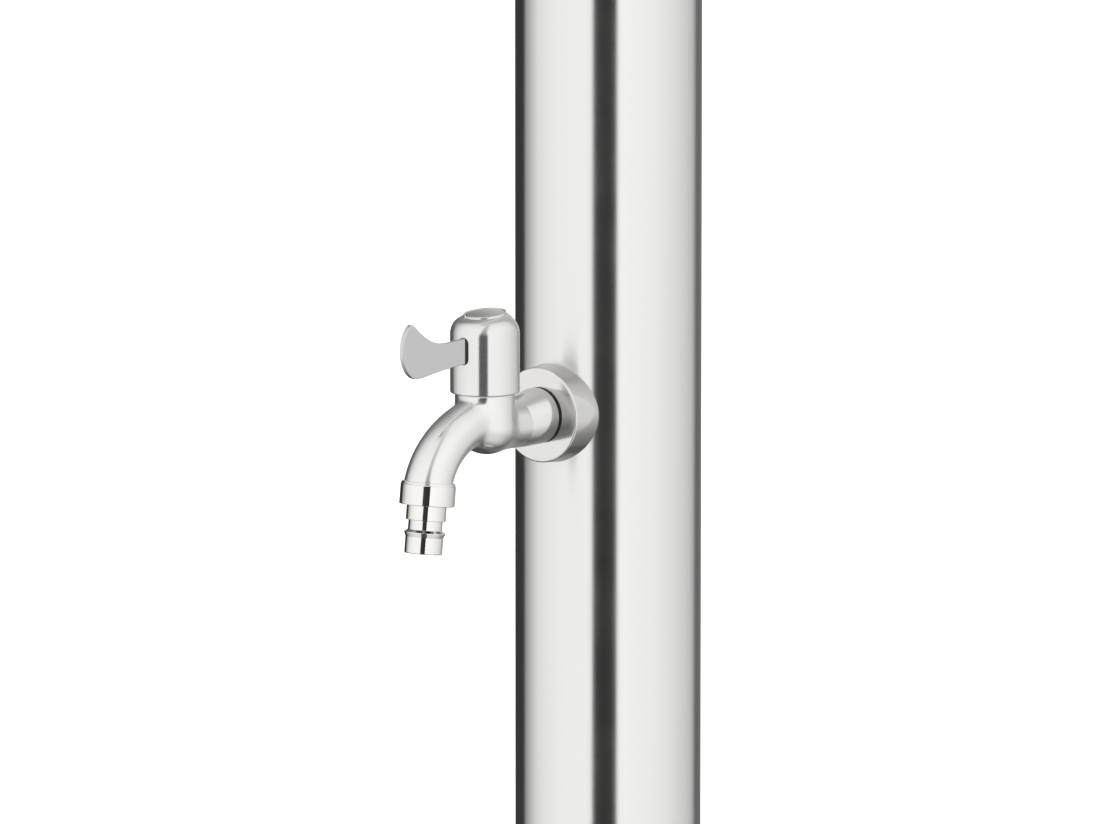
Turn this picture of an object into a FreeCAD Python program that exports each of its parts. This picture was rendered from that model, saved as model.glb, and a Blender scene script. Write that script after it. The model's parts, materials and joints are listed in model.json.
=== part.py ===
import FreeCAD, Part
import math
import os
import Sketcher
from FreeCAD import Placement, Rotation, Vector

# ---------------------------------------------------------------------------
# Outdoor shower post with a foot-wash tap, all sizes in millimetres.
# Frame: +Z up, origin on the ground at the centre of the bolt circle, column
# axis along Z. The foot tap, the shower valve and the arm all point along -Y.
# ---------------------------------------------------------------------------

doc = FreeCAD.newDocument("shower_post")
sheet = doc.addObject("Spreadsheet::Sheet", "Sizes")

SIZES = [
    # ground fixing
    ("gasket_radius", 118.0), ("gasket_thick", 2.0),
    ("flange_radius", 120.0), ("flange_thick", 10.0),
    ("bolt_circle_radius", 90.0), ("bolt_hole_radius", 6.5),
    ("flange_bore", 16.0),
    ("spigot_outer", 36.0), ("spigot_inner", 31.0), ("spigot_top", 76.0),
    ("grub_height", 26.0), ("grub_radius", 3.0),
    ("cover_radius", 125.0), ("cover_wall", 1.5), ("cover_top", 42.0),
    ("cover_gap", 1.0), ("cover_hole", 39.3),
    # column
    ("column_radius", 38.05), ("column_wall", 2.0), ("column_top", 2150.0),
    ("cap_thick", 3.0), ("cap_spigot", 15.0),
    # levels of the three outlets
    ("tap_level", 500.0), ("valve_level", 1100.0), ("arm_level", 2050.0),
    # risers inside the column
    ("pipe_radius", 7.5), ("pipe_bore", 6.5),
    # foot tap
    ("rosette_radius", 20.0), ("rosette_front", 45.3), ("rosette_edge", 1.3),
    ("tail_radius", 10.48),
    ("washer_thick", 1.55), ("washer_radius", 11.35),
    ("arm_end_radius", 11.46), ("body_axis", 81.1),
    ("neck_radius", 12.1), ("neck_top", 13.2), ("bulge_depth", 11.7),
    ("tube_radius", 10.0), ("spout_radius", 9.7), ("tube_drop", 0.5),
    ("elbow_radius", 22.0), ("elbow_start", 100.96), ("elbow_drop", 1.0),
    ("spout_slope", 14.0), ("spout_tilt", 7.2),
    # handle, shared by both valves (the shower valve is larger by a factor)
    ("hcap_radius", 14.0), ("hcap_bottom", 13.5), ("hcap_side", 37.2),
    ("hcap_top", 45.3), ("hcap_bore", 11.6), ("hcap_web", 37.0),
    ("top_slope", 7.3), ("plug_radius", 7.9),
    ("slot_width", 5.2), ("slot_tall", 10.9), ("lever_height", 31.4),
    ("lever_thick", 2.1), ("valve_factor", 1.25), ("valve_origin", 40.0),
    # hose nipple
    ("collar_radius", 11.15), ("collar_long", 8.4),
    ("nipple_bore", 4.5), ("nipple_end_radius", 7.65),
    # arm and head
    ("arm_rosette_radius", 27.0), ("arm_rosette_front", 45.0),
    ("arm_radius", 11.0), ("arm_bore", 9.4), ("arm_reach", 300.0),
    ("arm_bend", 60.0), ("arm_end_drop", 89.0), ("ball_drop", 112.0),
    ("ball_radius", 11.0), ("socket_radius", 14.15), ("head_radius", 100.0),
]

VALUE = {}
for row, (alias, number) in enumerate(SIZES, 1):
    sheet.set("A%d" % row, alias.replace("_", " "))
    sheet.set("B%d" % row, "%g" % number)
    sheet.setAlias("B%d" % row, alias)
    VALUE[alias] = number
doc.recompute()


class Q(float):
    """A number together with the expression that gives it from the sheet."""

    def __new__(cls, value, text):
        item = float.__new__(cls, value)
        item.text = text
        return item

    def __add__(a, b):
        return Q(float(a) + float(b), "(%s + %s)" % (txt(a), txt(b)))

    def __radd__(a, b):
        return Q(float(a) + float(b), "(%s + %s)" % (txt(b), txt(a)))

    def __sub__(a, b):
        return Q(float(a) - float(b), "(%s - %s)" % (txt(a), txt(b)))

    def __rsub__(a, b):
        return Q(float(b) - float(a), "(%s - %s)" % (txt(b), txt(a)))

    def __mul__(a, b):
        return Q(float(a) * float(b), "(%s * %s)" % (txt(a), txt(b)))

    def __rmul__(a, b):
        return Q(float(a) * float(b), "(%s * %s)" % (txt(b), txt(a)))

    def __truediv__(a, b):
        return Q(float(a) / float(b), "(%s / %s)" % (txt(a), txt(b)))

    def __neg__(a):
        return Q(-float(a), "(0 - %s)" % txt(a))


def txt(x):
    return x.text if isinstance(x, Q) else "%.6f" % float(x)


def S(alias):
    return Q(float(sheet.get(alias)), "Sizes.%s" % alias)


def bind(obj, prop, value):
    """Set a size, and tie it to the sheet when it comes from there."""
    setattr(obj, prop, float(value))
    if isinstance(value, Q):
        obj.setExpression(prop, value.text)


FRONT = Rotation(Vector(1, 0, 0), 90)     # local Z points along -Y, local Y up
NONE = Rotation()


def at(x, y, z, rot=None):
    return Placement(Vector(float(x), float(y), float(z)), rot or NONE)


parts = {}          # node name -> document object


def done(obj, name, place=None):
    if place is not None:
        obj.Placement = place
    obj.Label = name
    parts[name] = obj
    return obj


# --- sketching helpers ------------------------------------------------------

def origin_plane(body, role):
    for f in body.Origin.OriginFeatures:
        if f.Role == role:
            return f


def new_sketch(body, role, name, offset=None):
    sk = body.newObject("Sketcher::SketchObject", name)
    sk.AttachmentSupport = [(origin_plane(body, role), "")]
    sk.MapMode = "FlatFace"
    if offset is not None:
        sk.AttachmentOffset = Placement(Vector(0, 0, float(offset)), NONE)
        if isinstance(offset, Q):
            sk.setExpression("AttachmentOffset.Base.z", offset.text)
    return sk


def fix_axis(sk, kind, axis, geo, pos, value):
    if abs(float(value)) < 1e-9:
        sk.addConstraint(Sketcher.Constraint("PointOnObject", geo, pos, axis))
        return
    if float(value) > 0:
        c = sk.addConstraint(Sketcher.Constraint(kind, -1, 1, geo, pos, float(value)))
        shown = value
    else:
        c = sk.addConstraint(Sketcher.Constraint(kind, geo, pos, -1, 1, -float(value)))
        shown = -value if isinstance(value, Q) else value
    if isinstance(value, Q):
        sk.setExpression("Constraints[%d]" % c, shown.text)


def fix_point(sk, geo, pos, x, y):
    fix_axis(sk, "DistanceX", -2, geo, pos, x)
    fix_axis(sk, "DistanceY", -1, geo, pos, y)


def outline(body, role, name, points, offset=None, closed=True):
    """A dimensioned outline: (x, y) is a corner reached by a line,
    (x, y, (mx, my)) one reached by an arc through (mx, my)."""
    sk = new_sketch(body, role, name, offset)
    n = len(points)
    last = n if closed else n - 1
    geo = []
    for i in range(last):
        a, b = points[i], points[(i + 1) % n]
        pa = Vector(float(a[0]), float(a[1]), 0)
        pb = Vector(float(b[0]), float(b[1]), 0)
        if len(b) == 3:
            curve = Part.Arc(pa, Vector(float(b[2][0]), float(b[2][1]), 0), pb).toShape().Curve
            c, r = curve.Center, curve.Radius
            a1 = math.atan2(pa.y - c.y, pa.x - c.x)
            a2 = math.atan2(pb.y - c.y, pb.x - c.x)
            am = math.atan2(float(b[2][1]) - c.y, float(b[2][0]) - c.x)
            forward = (am - a1) % (2 * math.pi) < (a2 - a1) % (2 * math.pi)
            lo, hi = (a1, a2) if forward else (a2, a1)
            arc = Part.ArcOfCircle(Part.Circle(c, Vector(0, 0, 1), r), lo, lo + (hi - lo) % (2 * math.pi))
            geo.append(("arc", arc, forward, r, pa.distanceToPoint(pb)))
        else:
            geo.append(("line", Part.LineSegment(pa, pb), pa))
    ids, ends = [], []
    for item in geo:
        kind, g, pa = item[:3]
        i = sk.addGeometry(g, False)
        ids.append(i)
        if kind == "arc":
            ends.append((1, 2) if pa else (2, 1))
        else:
            ends.append((1, 2))
    for i in range(last):
        j = (i + 1) % n
        if j < last:
            sk.addConstraint(Sketcher.Constraint("Coincident", ids[i], ends[i][1], ids[j], ends[j][0]))
    for i in range(last):
        fix_point(sk, ids[i], ends[i][0], points[i][0], points[i][1])
        if geo[i][0] == "arc":
            radius, chord = geo[i][3], geo[i][4]
            if 2 * radius - chord > 1e-4:
                sk.addConstraint(Sketcher.Constraint("Radius", ids[i], radius))
    if not closed:
        fix_point(sk, ids[-1], ends[-1][1], points[-1][0], points[-1][1])
    return sk


def circles(body, role, name, rings, offset=None):
    """Circles given as (x, y, radius)."""
    sk = new_sketch(body, role, name, offset)
    for x, y, r in rings:
        i = sk.addGeometry(Part.Circle(Vector(float(x), float(y), 0), Vector(0, 0, 1), float(r)), False)
        if abs(float(x)) < 1e-9 and abs(float(y)) < 1e-9:
            sk.addConstraint(Sketcher.Constraint("Coincident", i, 3, -1, 1))
        else:
            fix_point(sk, i, 3, x, y)
        c = sk.addConstraint(Sketcher.Constraint("Radius", i, float(r)))
        if isinstance(r, Q):
            sk.setExpression("Constraints[%d]" % c, r.text)
    return sk


def body_of(name):
    return doc.addObject("PartDesign::Body", name)


def pad(body, sk, length, back=False, both=False):
    f = body.newObject("PartDesign::Pad", "Pad")
    f.Profile = sk
    if both:
        f.SideType = "Symmetric"
    f.Reversed = back
    bind(f, "Length", length)
    doc.recompute()
    return f


def pocket(body, sk, length, back=False, both=False):
    f = body.newObject("PartDesign::Pocket", "Pocket")
    f.Profile = sk
    if both:
        f.SideType = "Symmetric"
    f.Reversed = back
    bind(f, "Length", length)
    before = body.Shape.Volume if body.Shape and not body.Shape.isNull() else 0
    doc.recompute()
    if not f.Shape.Volume < before - 1e-6:
        raise RuntimeError("pocket on %s cuts nothing" % body.Name)
    return f


def revolve(body, sk):
    f = body.newObject("PartDesign::Revolution", "Revolution")
    f.Profile = sk
    f.ReferenceAxis = (sk, ["V_Axis"])
    f.Angle = 360.0
    doc.recompute()
    if f.Shape.isNull() or "Invalid" in f.State:
        raise RuntimeError("revolution on %s failed: %s" % (body.Name, f.State))
    return f


def groove(body, sk):
    f = body.newObject("PartDesign::Groove", "Groove")
    f.Profile = sk
    f.ReferenceAxis = (sk, ["V_Axis"])
    f.Angle = 360.0
    before = body.Shape.Volume
    doc.recompute()
    if not f.Shape.Volume < before - 1e-6:
        raise RuntimeError("groove on %s cuts nothing" % body.Name)
    return f


def turned(name, points, place=None):
    """A piece turned about its local Z axis from a (radius, height) outline."""
    b = body_of(name)
    revolve(b, outline(b, "XZ_Plane", name + "_outline", points))
    return done(b, name, place)


def ring(name, outer, inner, low, high, place=None):
    return turned(name, [(inner, low), (outer, low), (outer, high), (inner, high)], place)


def polar(body, feature, count, angle=360.0):
    f = body.newObject("PartDesign::PolarPattern", "PolarPattern")
    f.Originals = [feature]
    f.Axis = (origin_axis(body, "Z_Axis"), [""])
    f.Angle = angle
    f.Occurrences = count
    body.Tip = f
    doc.recompute()
    return f


def origin_axis(body, role):
    for f in body.Origin.OriginFeatures:
        if f.Role == role:
            return f


def edges_where(shape, test):
    return ["Edge%d" % i for i, e in enumerate(shape.Edges, 1) if test(e)]


def round_edges(body, kind, size, test):
    base = body.Tip
    f = body.newObject("PartDesign::" + kind, kind)
    f.Base = (base, edges_where(base.Shape, test))
    bind(f, "Radius" if kind == "Fillet" else "Size", size)
    doc.recompute()
    return f


def circle_at(radius, height=None, axis=2, tol=1e-3):
    """Test for a circular edge of that radius, lying at that local height."""
    def test(e):
        c = e.Curve
        if not hasattr(c, "Radius") or abs(c.Radius - float(radius)) > tol:
            return False
        return height is None or abs(c.Center[axis] - float(height)) < tol
    return test


def dome_mid(r_edge, z_edge, z_pole):
    """A point half way along the arc from an edge to a pole on the axis, on
    the sphere through both, so that the pole is smooth."""
    rise = float(z_pole) - float(z_edge)
    radius = (float(r_edge) ** 2 + rise ** 2) / (2 * abs(rise))
    sign = 1.0 if rise > 0 else -1.0
    centre = float(z_pole) - sign * radius
    half = math.asin(float(r_edge) / radius) / 2
    if abs(rise) > radius:
        half = (math.pi - math.asin(float(r_edge) / radius)) / 2
    return (radius * math.sin(half), centre + sign * radius * math.cos(half))


# --- solid helpers for pieces made of plain primitives ----------------------

def cyl(name, radius, height, place):
    o = doc.addObject("Part::Cylinder", name)
    bind(o, "Radius", radius)
    bind(o, "Height", height)
    o.Placement = place
    return o


def fuse(name, shapes):
    o = doc.addObject("Part::MultiFuse", name)
    o.Shapes = shapes
    return o


def cut(name, base, tool):
    o = doc.addObject("Part::Cut", name)
    o.Base, o.Tool = base, tool
    return o


def common(name, base, tool):
    o = doc.addObject("Part::MultiCommon", name)
    o.Shapes = [base, tool]
    return o


# ===========================================================================
# Ground fixing
# ===========================================================================
gasket_t = S("gasket_thick")
flange_bottom = gasket_t
flange_top = gasket_t + S("flange_thick")
bolt_r, bolt_pcr = S("bolt_hole_radius"), S("bolt_circle_radius")

# rubber gasket between the flange and the ground
b = body_of("base_gasket")
pad(b, circles(b, "XY_Plane", "gasket_disc", [(0, 0, S("gasket_radius")), (0, 0, S("flange_bore"))]), gasket_t)
p = pocket(b, circles(b, "XY_Plane", "gasket_hole", [(bolt_pcr, 0, bolt_r)]), gasket_t, back=True)
polar(b, p, 4)
done(b, "base_gasket")

# steel flange with the welded spigot that carries the column
b = body_of("base_flange")
pad(b, circles(b, "XY_Plane", "flange_disc", [(0, 0, S("flange_radius")), (0, 0, S("flange_bore"))],
               offset=flange_bottom), S("flange_thick"))
pad(b, circles(b, "XY_Plane", "spigot_ring", [(0, 0, S("spigot_outer")), (0, 0, S("spigot_inner"))],
               offset=flange_top), S("spigot_top") - flange_top)
p = pocket(b, circles(b, "XY_Plane", "flange_hole", [(bolt_pcr, 0, bolt_r)], offset=flange_bottom),
           S("flange_thick"), back=True)
polar(b, p, 4)
p = pocket(b, circles(b, "XZ_Plane", "grub_hole", [(0, S("grub_height"), S("grub_radius"))]), 40.0, back=True)
polar(b, p, 3)
# tapped holes for the three screws of the inlet union
p = pocket(b, circles(b, "XY_Plane", "union_screw_hole", [(22.0, 0, 2.0)], offset=flange_top), 8.0)
polar(b, p, 3)
round_edges(b, "Chamfer", 1.0, circle_at(S("flange_radius"), flange_top))
done(b, "base_flange")

# grub screws that lock the column to the spigot, hidden by the cover
b = body_of("column_grub_screws")
sk = circles(b, "XZ_Plane", "grub_screw", [(0, S("grub_height"), S("grub_radius"))], offset=31.5)
g = pad(b, sk, 6.4)
sk = circles(b, "XZ_Plane", "grub_socket", [(0, S("grub_height"), 1.5)], offset=37.9)
pocket(b, sk, 2.5)
# three separate screws: the first turned about the column axis
base_screw = b
screws = []
for i in range(3):
    sh = base_screw.Shape.copy()
    sh.rotate(Vector(0, 0, 0), Vector(0, 0, 1), 120.0 * i)
    screws.append(sh)
o = doc.addObject("Part::Feature", "column_grub_screws_set")
o.Shape = Part.makeCompound(screws)
done(o, "column_grub_screws")

# spun cover that hides the ground bolts
R, W = S("cover_radius"), S("cover_wall")
T, G, H = S("cover_top"), S("cover_gap"), S("cover_hole")
k = 1 - math.sqrt(0.5)
turned("base_cover", [
    (R, G), (R, T - 9.0), (R - 9.0, T, (R - 9.0 * k, T - 9.0 * k)), (H, T), (H, T - W),
    (R - 9.0, T - W), (R - W, T - 9.0, (R - W - 7.5 * k, T - W - 7.5 * k)), (R - W, G)])
c = S("column_radius")
turned("base_cover_seal", [
    (c, T - W - 1.5), (c + 2.6, T - W - 1.5), (c + 2.6, T - W), (H, T - W), (H, T),
    (c + 4.2, T), (c + 4.2, T + 0.8), (c + 3.4, T + 1.8), (c, T + 2.2)])

# ===========================================================================
# Column
# ===========================================================================
b = body_of("column_tube")
cr, ci = S("column_radius"), S("column_radius") - S("column_wall")
pad(b, circles(b, "XY_Plane", "column_section", [(0, 0, cr), (0, 0, ci)], offset=flange_top),
    S("column_top") - flange_top)
for nm, lev, rad in (("tap", S("tap_level"), 11.2), ("valve", S("valve_level"), 13.6), ("arm", S("arm_level"), 11.3)):
    pocket(b, circles(b, "XZ_Plane", nm + "_hole", [(0, lev, rad)]), 45.0, back=True)
p = pocket(b, circles(b, "XZ_Plane", "grub_clearance", [(0, S("grub_height"), 3.2)]), 45.0, back=True)
polar(b, p, 3)
done(b, "column_tube")

ct = S("column_top")
turned("top_cap", [
    (0, ct), (31.6, ct), (31.6, ct - S("cap_spigot")), (35.0, ct - S("cap_spigot")), (35.8, ct - S("cap_spigot") + 1.0),
    (35.8, ct - 9.0), (33.6, ct - 9.0), (33.6, ct - 6.0), (35.8, ct - 6.0), (35.8, ct),
    (cr, ct), (cr, ct + S("cap_thick") - 1.0), (cr - 1.0, ct + S("cap_thick"), (cr - 1.0 * k, ct + S("cap_thick") - 1.0 * k)),
    (0, ct + S("cap_thick") + 0.6, dome_mid(cr - 1.0, ct + S("cap_thick"), ct + S("cap_thick") + 0.6))])
b = body_of("top_cap_o_ring")
revolve(b, circles(b, "XZ_Plane", "o_ring_section", [(34.8, ct - 7.5, 1.2)]))
done(b, "top_cap_o_ring")

# ===========================================================================
# Water path inside the column
# ===========================================================================
# inlet union: half-inch female thread below, compression thread above
turned("inlet_union", [
    (9.32, flange_bottom), (15.8, flange_bottom), (15.8, flange_top), (26.0, flange_top),
    (26.0, flange_top + 4.0), (13.0, flange_top + 4.0), (13.0, 30.0), (10.5, 30.0), (10.5, 46.0),
    (7.5, 46.0), (7.5, 34.0), (6.5, 34.0), (6.5, 24.0), (9.32, 24.0)])
inlet = parts["inlet_union"]
p = pocket(inlet, circles(inlet, "XY_Plane", "union_screw_clear", [(22.0, 0, 2.2)], offset=flange_top), 5.0, back=True)
polar(inlet, p, 3)

b = body_of("inlet_union_screw")
revolve(b, outline(b, "XZ_Plane", "union_screw_outline", [
    (0, 6.0), (2.0, 6.0), (2.0, 16.0), (3.6, 16.0), (3.6, 19.2), (1.6, 19.2), (1.6, 17.4), (0, 17.4)]))
screws = []
for i in range(3):
    sh = b.Shape.copy()
    sh.translate(Vector(22.0, 0, 0))
    sh.rotate(Vector(0, 0, 0), Vector(0, 0, 1), 120.0 * i)
    screws.append(sh)
o = doc.addObject("Part::Feature", "inlet_union_screws_set")
o.Shape = Part.makeCompound(screws)
done(o, "inlet_union_screws")

# straight risers
pr, pb = S("pipe_radius"), S("pipe_bore")
tl, vl, al = S("tap_level"), S("valve_level"), S("arm_level")
ring("lower_riser_pipe", pr, pb, 34.5, tl - 26.0)
ring("middle_riser_pipe", pr, pb, tl + 26.0, vl - 30.0)
ring("upper_riser_pipe", pr, pb, vl + 30.0, al - 26.0)


def level(z, rot=None):
    """Placement on the column axis at a level bound to the sheet."""
    return at(0, 0, z, rot)


# tee behind the foot tap
run = cyl("tee_run", 11.0, 84.0, level(float(tl) - 42.0))
branch = cyl("tee_branch", 13.6, 29.0, Placement(Vector(0, 0, float(tl)), FRONT))
tee_solid = fuse("tee_solid", [run, branch])
bore = cyl("tee_bore", pb, 90.0, level(float(tl) - 45.0))
sock_low = cyl("tee_socket_low", pr, 17.0, level(float(tl) - 43.0))
sock_high = cyl("tee_socket_high", pr, 17.0, level(float(tl) + 26.0))
sock_tap = cyl("tee_socket_tap", S("tail_radius"), 17.0, Placement(Vector(0, -13.0, float(tl)), FRONT))
way = cyl("tee_way", 6.0, 20.0, Placement(Vector(0, 0, float(tl)), FRONT))
tee_hollow = fuse("tee_hollow", [bore, sock_low, sock_high, sock_tap, way])
done(cut("foot_tap_tee", tee_solid, tee_hollow), "foot_tap_tee")

# saddle between the tee and the inside of the column
sad = cyl("saddle_disc", 17.0, 8.0, Placement(Vector(0, -29.0, float(tl)), FRONT))
sad_bore = cyl("saddle_bore", 10.6, 12.0, Placement(Vector(0, -27.0, float(tl)), FRONT))
inner = cyl("saddle_wall", ci, 60.0, level(float(tl) - 30.0))
done(cut("tap_inner_saddle", common("saddle_fit", sad, inner), sad_bore), "tap_inner_saddle")

# elbow behind the arm
leg = cyl("elbow_leg", 11.0, 42.0, level(float(al) - 42.0))
mouth = cyl("elbow_mouth", 13.8, 45.0, Placement(Vector(0, 13.0, float(al)), FRONT))
elbow_solid = fuse("elbow_solid", [leg, mouth])
e1 = cyl("elbow_bore", pb, 42.0, level(float(al) - 43.0))
e2 = cyl("elbow_socket", pr, 17.0, level(float(al) - 43.0))
e3 = cyl("elbow_way", 8.5, 34.0, Placement(Vector(0, 8.0, float(al)), FRONT))
e4 = cyl("elbow_arm_socket", S("arm_radius"), 17.0, Placement(Vector(0, -16.0, float(al)), FRONT))
elbow_hollow = fuse("elbow_hollow", [e1, e2, e3, e4])
elbow_cut = cut("elbow_cut", elbow_solid, elbow_hollow)
wall = cyl("elbow_wall", ci - 0.2, 60.0, level(float(al) - 43.0))
done(common("arm_elbow", elbow_cut, wall), "arm_elbow")

# hexagon compression nuts on every riser end
nuts = []
for z in (46.0, float(tl) - 54.0, float(tl) + 42.0, float(vl) - 58.0, float(vl) + 46.0, float(al) - 54.0):
    pts = [Vector(13.0 * math.cos(math.radians(60 * i)), 13.0 * math.sin(math.radians(60 * i)), z) for i in range(7)]
    hexa = Part.Face(Part.makePolygon(pts)).extrude(Vector(0, 0, 12.0))
    nuts.append(hexa.cut(Part.makeCylinder(float(pr), 20.0, Vector(0, 0, z - 4.0))))
o = doc.addObject("Part::Feature", "compression_nuts_set")
o.Shape = Part.makeCompound(nuts)
done(o, "compression_nuts")

# plastic discs that centre the risers in the column
discs = []
for z in (270.0, 800.0, 1400.0, 1780.0):
    d = Part.makeCylinder(float(ci) - 0.1, 8.0, Vector(0, 0, z))
    d = d.cut(Part.makeCylinder(float(pr), 10.0, Vector(0, 0, z - 1)))
    for i in range(4):
        a = math.radians(45 + 90 * i)
        d = d.cut(Part.makeCylinder(8.0, 10.0, Vector(22.5 * math.cos(a), 22.5 * math.sin(a), z - 1)))
    discs.append(d)
o = doc.addObject("Part::Feature", "riser_spacers_set")
o.Shape = Part.makeCompound(discs)
done(o, "riser_spacers")


# ===========================================================================
# Rosettes: turned discs whose backs are cut to the column's curve
# ===========================================================================
def rosette(name, radius, front, hole, level_z, edge):
    b = body_of(name)
    pad(b, circles(b, "XY_Plane", name + "_disc", [(0, 0, radius), (0, 0, hole)]), front)
    pocket(b, circles(b, "XZ_Plane", name + "_saddle", [(0, 0, S("column_radius"))]), 160.0, both=True)
    round_edges(b, "Fillet", edge, circle_at(radius, front))
    return done(b, name, Placement(Vector(0, 0, float(level_z)), FRONT))


rosette("tap_rosette", S("rosette_radius"), S("rosette_front"), 10.7, tl, S("rosette_edge"))
rosette("arm_rosette", S("arm_rosette_radius"), S("arm_rosette_front"), 11.1, al, 1.5)

tap_axis = Placement(Vector(0, 0, float(tl)), FRONT)
rf = S("rosette_front")
shoulder = rf + S("washer_thick")
ring("tap_seal_washer", S("washer_radius"), 10.55, rf, shoulder, tap_axis)

# ===========================================================================
# Foot tap body: threaded tail, arm, chamber and drooping spout in one casting.
# Local frame: origin where the chamber's axis meets the tap's axis, +Y to the column.
# ===========================================================================
ba = S("body_axis")
body_place = at(0, -float(ba), float(tl))
b = body_of("tap_body")
dip = S("tube_drop")
# chamber with its rounded underside
nr, nt = S("neck_radius"), S("neck_top")
bd = S("bulge_depth")
revolve(b, outline(b, "XZ_Plane", "chamber", [
    (0, -bd), (nr, 0.0, dome_mid(nr, 0.0, -bd)), (nr, nt - 0.4), (nr - 0.4, nt), (0, nt)]))
# the arm's end is a short cylinder, then the arm tapers from above
sk = circles(b, "XZ_Plane", "arm_band", [(0, 0, S("arm_end_radius"))], offset=-(ba - shoulder))
pad(b, sk, 1.6)
loft = b.newObject("PartDesign::AdditiveLoft", "ArmTaper")
loft.Profile = circles(b, "XZ_Plane", "arm_start", [(0, 0, S("arm_end_radius"))], offset=-(ba - shoulder - 1.6))
loft.Sections = [circles(b, "XZ_Plane", "arm_finish", [(0, -dip, S("tube_radius"))], offset=-(ba - 62.0))]
loft.Ruled = True
doc.recompute()
# tail with the half-inch thread
sk = circles(b, "XZ_Plane", "tail", [(0, 0, S("tail_radius"))], offset=-(ba - 14.0))
pad(b, sk, shoulder - 14.0)
# straight tube from the arm into the chamber
sk = circles(b, "XZ_Plane", "arm_tube", [(0, -dip, S("tube_radius"))], offset=-(ba - 62.0))
pad(b, sk, 19.1)
# the spout runs down from the chamber in a line, then turns down in an arc
er, es = float(S("elbow_radius")), float(S("elbow_start"))
slope_in = math.radians(VALUE["spout_slope"])
slope_out = math.radians(90.0 - VALUE["spout_tilt"])
y1 = float(ba) - es
z1 = -float(S("elbow_drop"))
yc, zcen = y1 + er * math.sin(slope_in), z1 - er * math.cos(slope_in)


def on_bend(angle):
    return yc - er * math.sin(angle), zcen + er * math.cos(angle)


ye, ze = on_bend(slope_out)
ym, zm = on_bend((slope_in + slope_out) / 2)


def spout_height(y):
    return z1 + (y - y1) * math.tan(slope_in)


def spout_path(name, start):
    return outline(b, "YZ_Plane", name, [(start, spout_height(start)), (y1, z1), (ye, ze, (ym, zm))], closed=False)


def spout_section(name, y, radius):
    """Circle square to the spout's straight part."""
    sk = b.newObject("Sketcher::SketchObject", name)
    sk.AttachmentSupport = [(origin_plane(b, "XY_Plane"), "")]
    sk.MapMode = "FlatFace"
    along = Vector(0, -math.cos(slope_in), -math.sin(slope_in))
    sk.AttachmentOffset = Placement(Vector(0, y, spout_height(y)), Rotation(Vector(0, 0, 1), along))
    i = sk.addGeometry(Part.Circle(Vector(0, 0, 0), Vector(0, 0, 1), float(radius)), False)
    sk.addConstraint(Sketcher.Constraint("Coincident", i, 3, -1, 1))
    c = sk.addConstraint(Sketcher.Constraint("Radius", i, float(radius)))
    if isinstance(radius, Q):
        sk.setExpression("Constraints[%d]" % c, radius.text)
    return sk


def pipe(kind, name, section, path):
    f = b.newObject("PartDesign::" + kind, name)
    f.Profile = section
    f.Spine = (path, [])
    doc.recompute()
    return f


pipe("AdditivePipe", "Spout", spout_section("spout_circle", -4.0, S("spout_radius")), spout_path("spout_line", -4.0))

# threaded spigot at the spout's mouth, along the tilted outlet axis
mouth_y, mouth_z = ye, ze
out_dir = Vector(0, -math.sin(math.radians(VALUE["spout_tilt"])), -math.cos(math.radians(VALUE["spout_tilt"])))
tilt_rot = Rotation(Vector(0, 0, 1), out_dir)
thread_sk = b.newObject("Sketcher::SketchObject", "spout_thread")
thread_sk.AttachmentSupport = [(origin_plane(b, "XY_Plane"), "")]
thread_sk.MapMode = "FlatFace"
thread_sk.AttachmentOffset = Placement(Vector(0, mouth_y, mouth_z), tilt_rot)
i = thread_sk.addGeometry(Part.Circle(Vector(0, 0, 0), Vector(0, 0, 1), 8.9), False)
thread_sk.addConstraint(Sketcher.Constraint("Coincident", i, 3, -1, 1))
thread_sk.addConstraint(Sketcher.Constraint("Radius", i, 8.9))
pad(b, thread_sk, 5.0)

# passages: inlet below the seat, outlet above it
sk = outline(b, "XZ_Plane", "chamber_bore", [
    (0, -8.2), (3.6, -8.2), (3.6, -2.0), (9.5, -2.0), (9.5, nt + 1.0), (0, nt + 1.0)])
groove(b, sk)
pocket(b, circles(b, "XZ_Plane", "inlet_bore", [(0, -1.2, 6.5)], offset=-(ba - 13.0)), 53.0, back=True)
pocket(b, circles(b, "XZ_Plane", "inlet_way", [(0, -5.1, 2.8)], offset=-16.5), 17.5, back=True)
pipe("SubtractivePipe", "Outlet", spout_section("outlet_circle", -11.2, 6.6), spout_path("outlet_line", -11.2))
pocket(b, circles(b, "XZ_Plane", "outlet_way", [(0, 4.0, 4.0)], offset=7.0), 8.0, back=True)
hole_sk = b.newObject("Sketcher::SketchObject", "spout_mouth")
hole_sk.AttachmentSupport = [(origin_plane(b, "XY_Plane"), "")]
hole_sk.MapMode = "FlatFace"
hole_sk.AttachmentOffset = Placement(Vector(0, mouth_y, mouth_z) - out_dir * 0.8, tilt_rot)
i = hole_sk.addGeometry(Part.Circle(Vector(0, 0, 0), Vector(0, 0, 1), 6.3), False)
hole_sk.addConstraint(Sketcher.Constraint("Coincident", i, 3, -1, 1))
hole_sk.addConstraint(Sketcher.Constraint("Radius", i, 6.3))
pocket(b, hole_sk, 6.5, back=True)
done(b, "tap_body", body_place)

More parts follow.
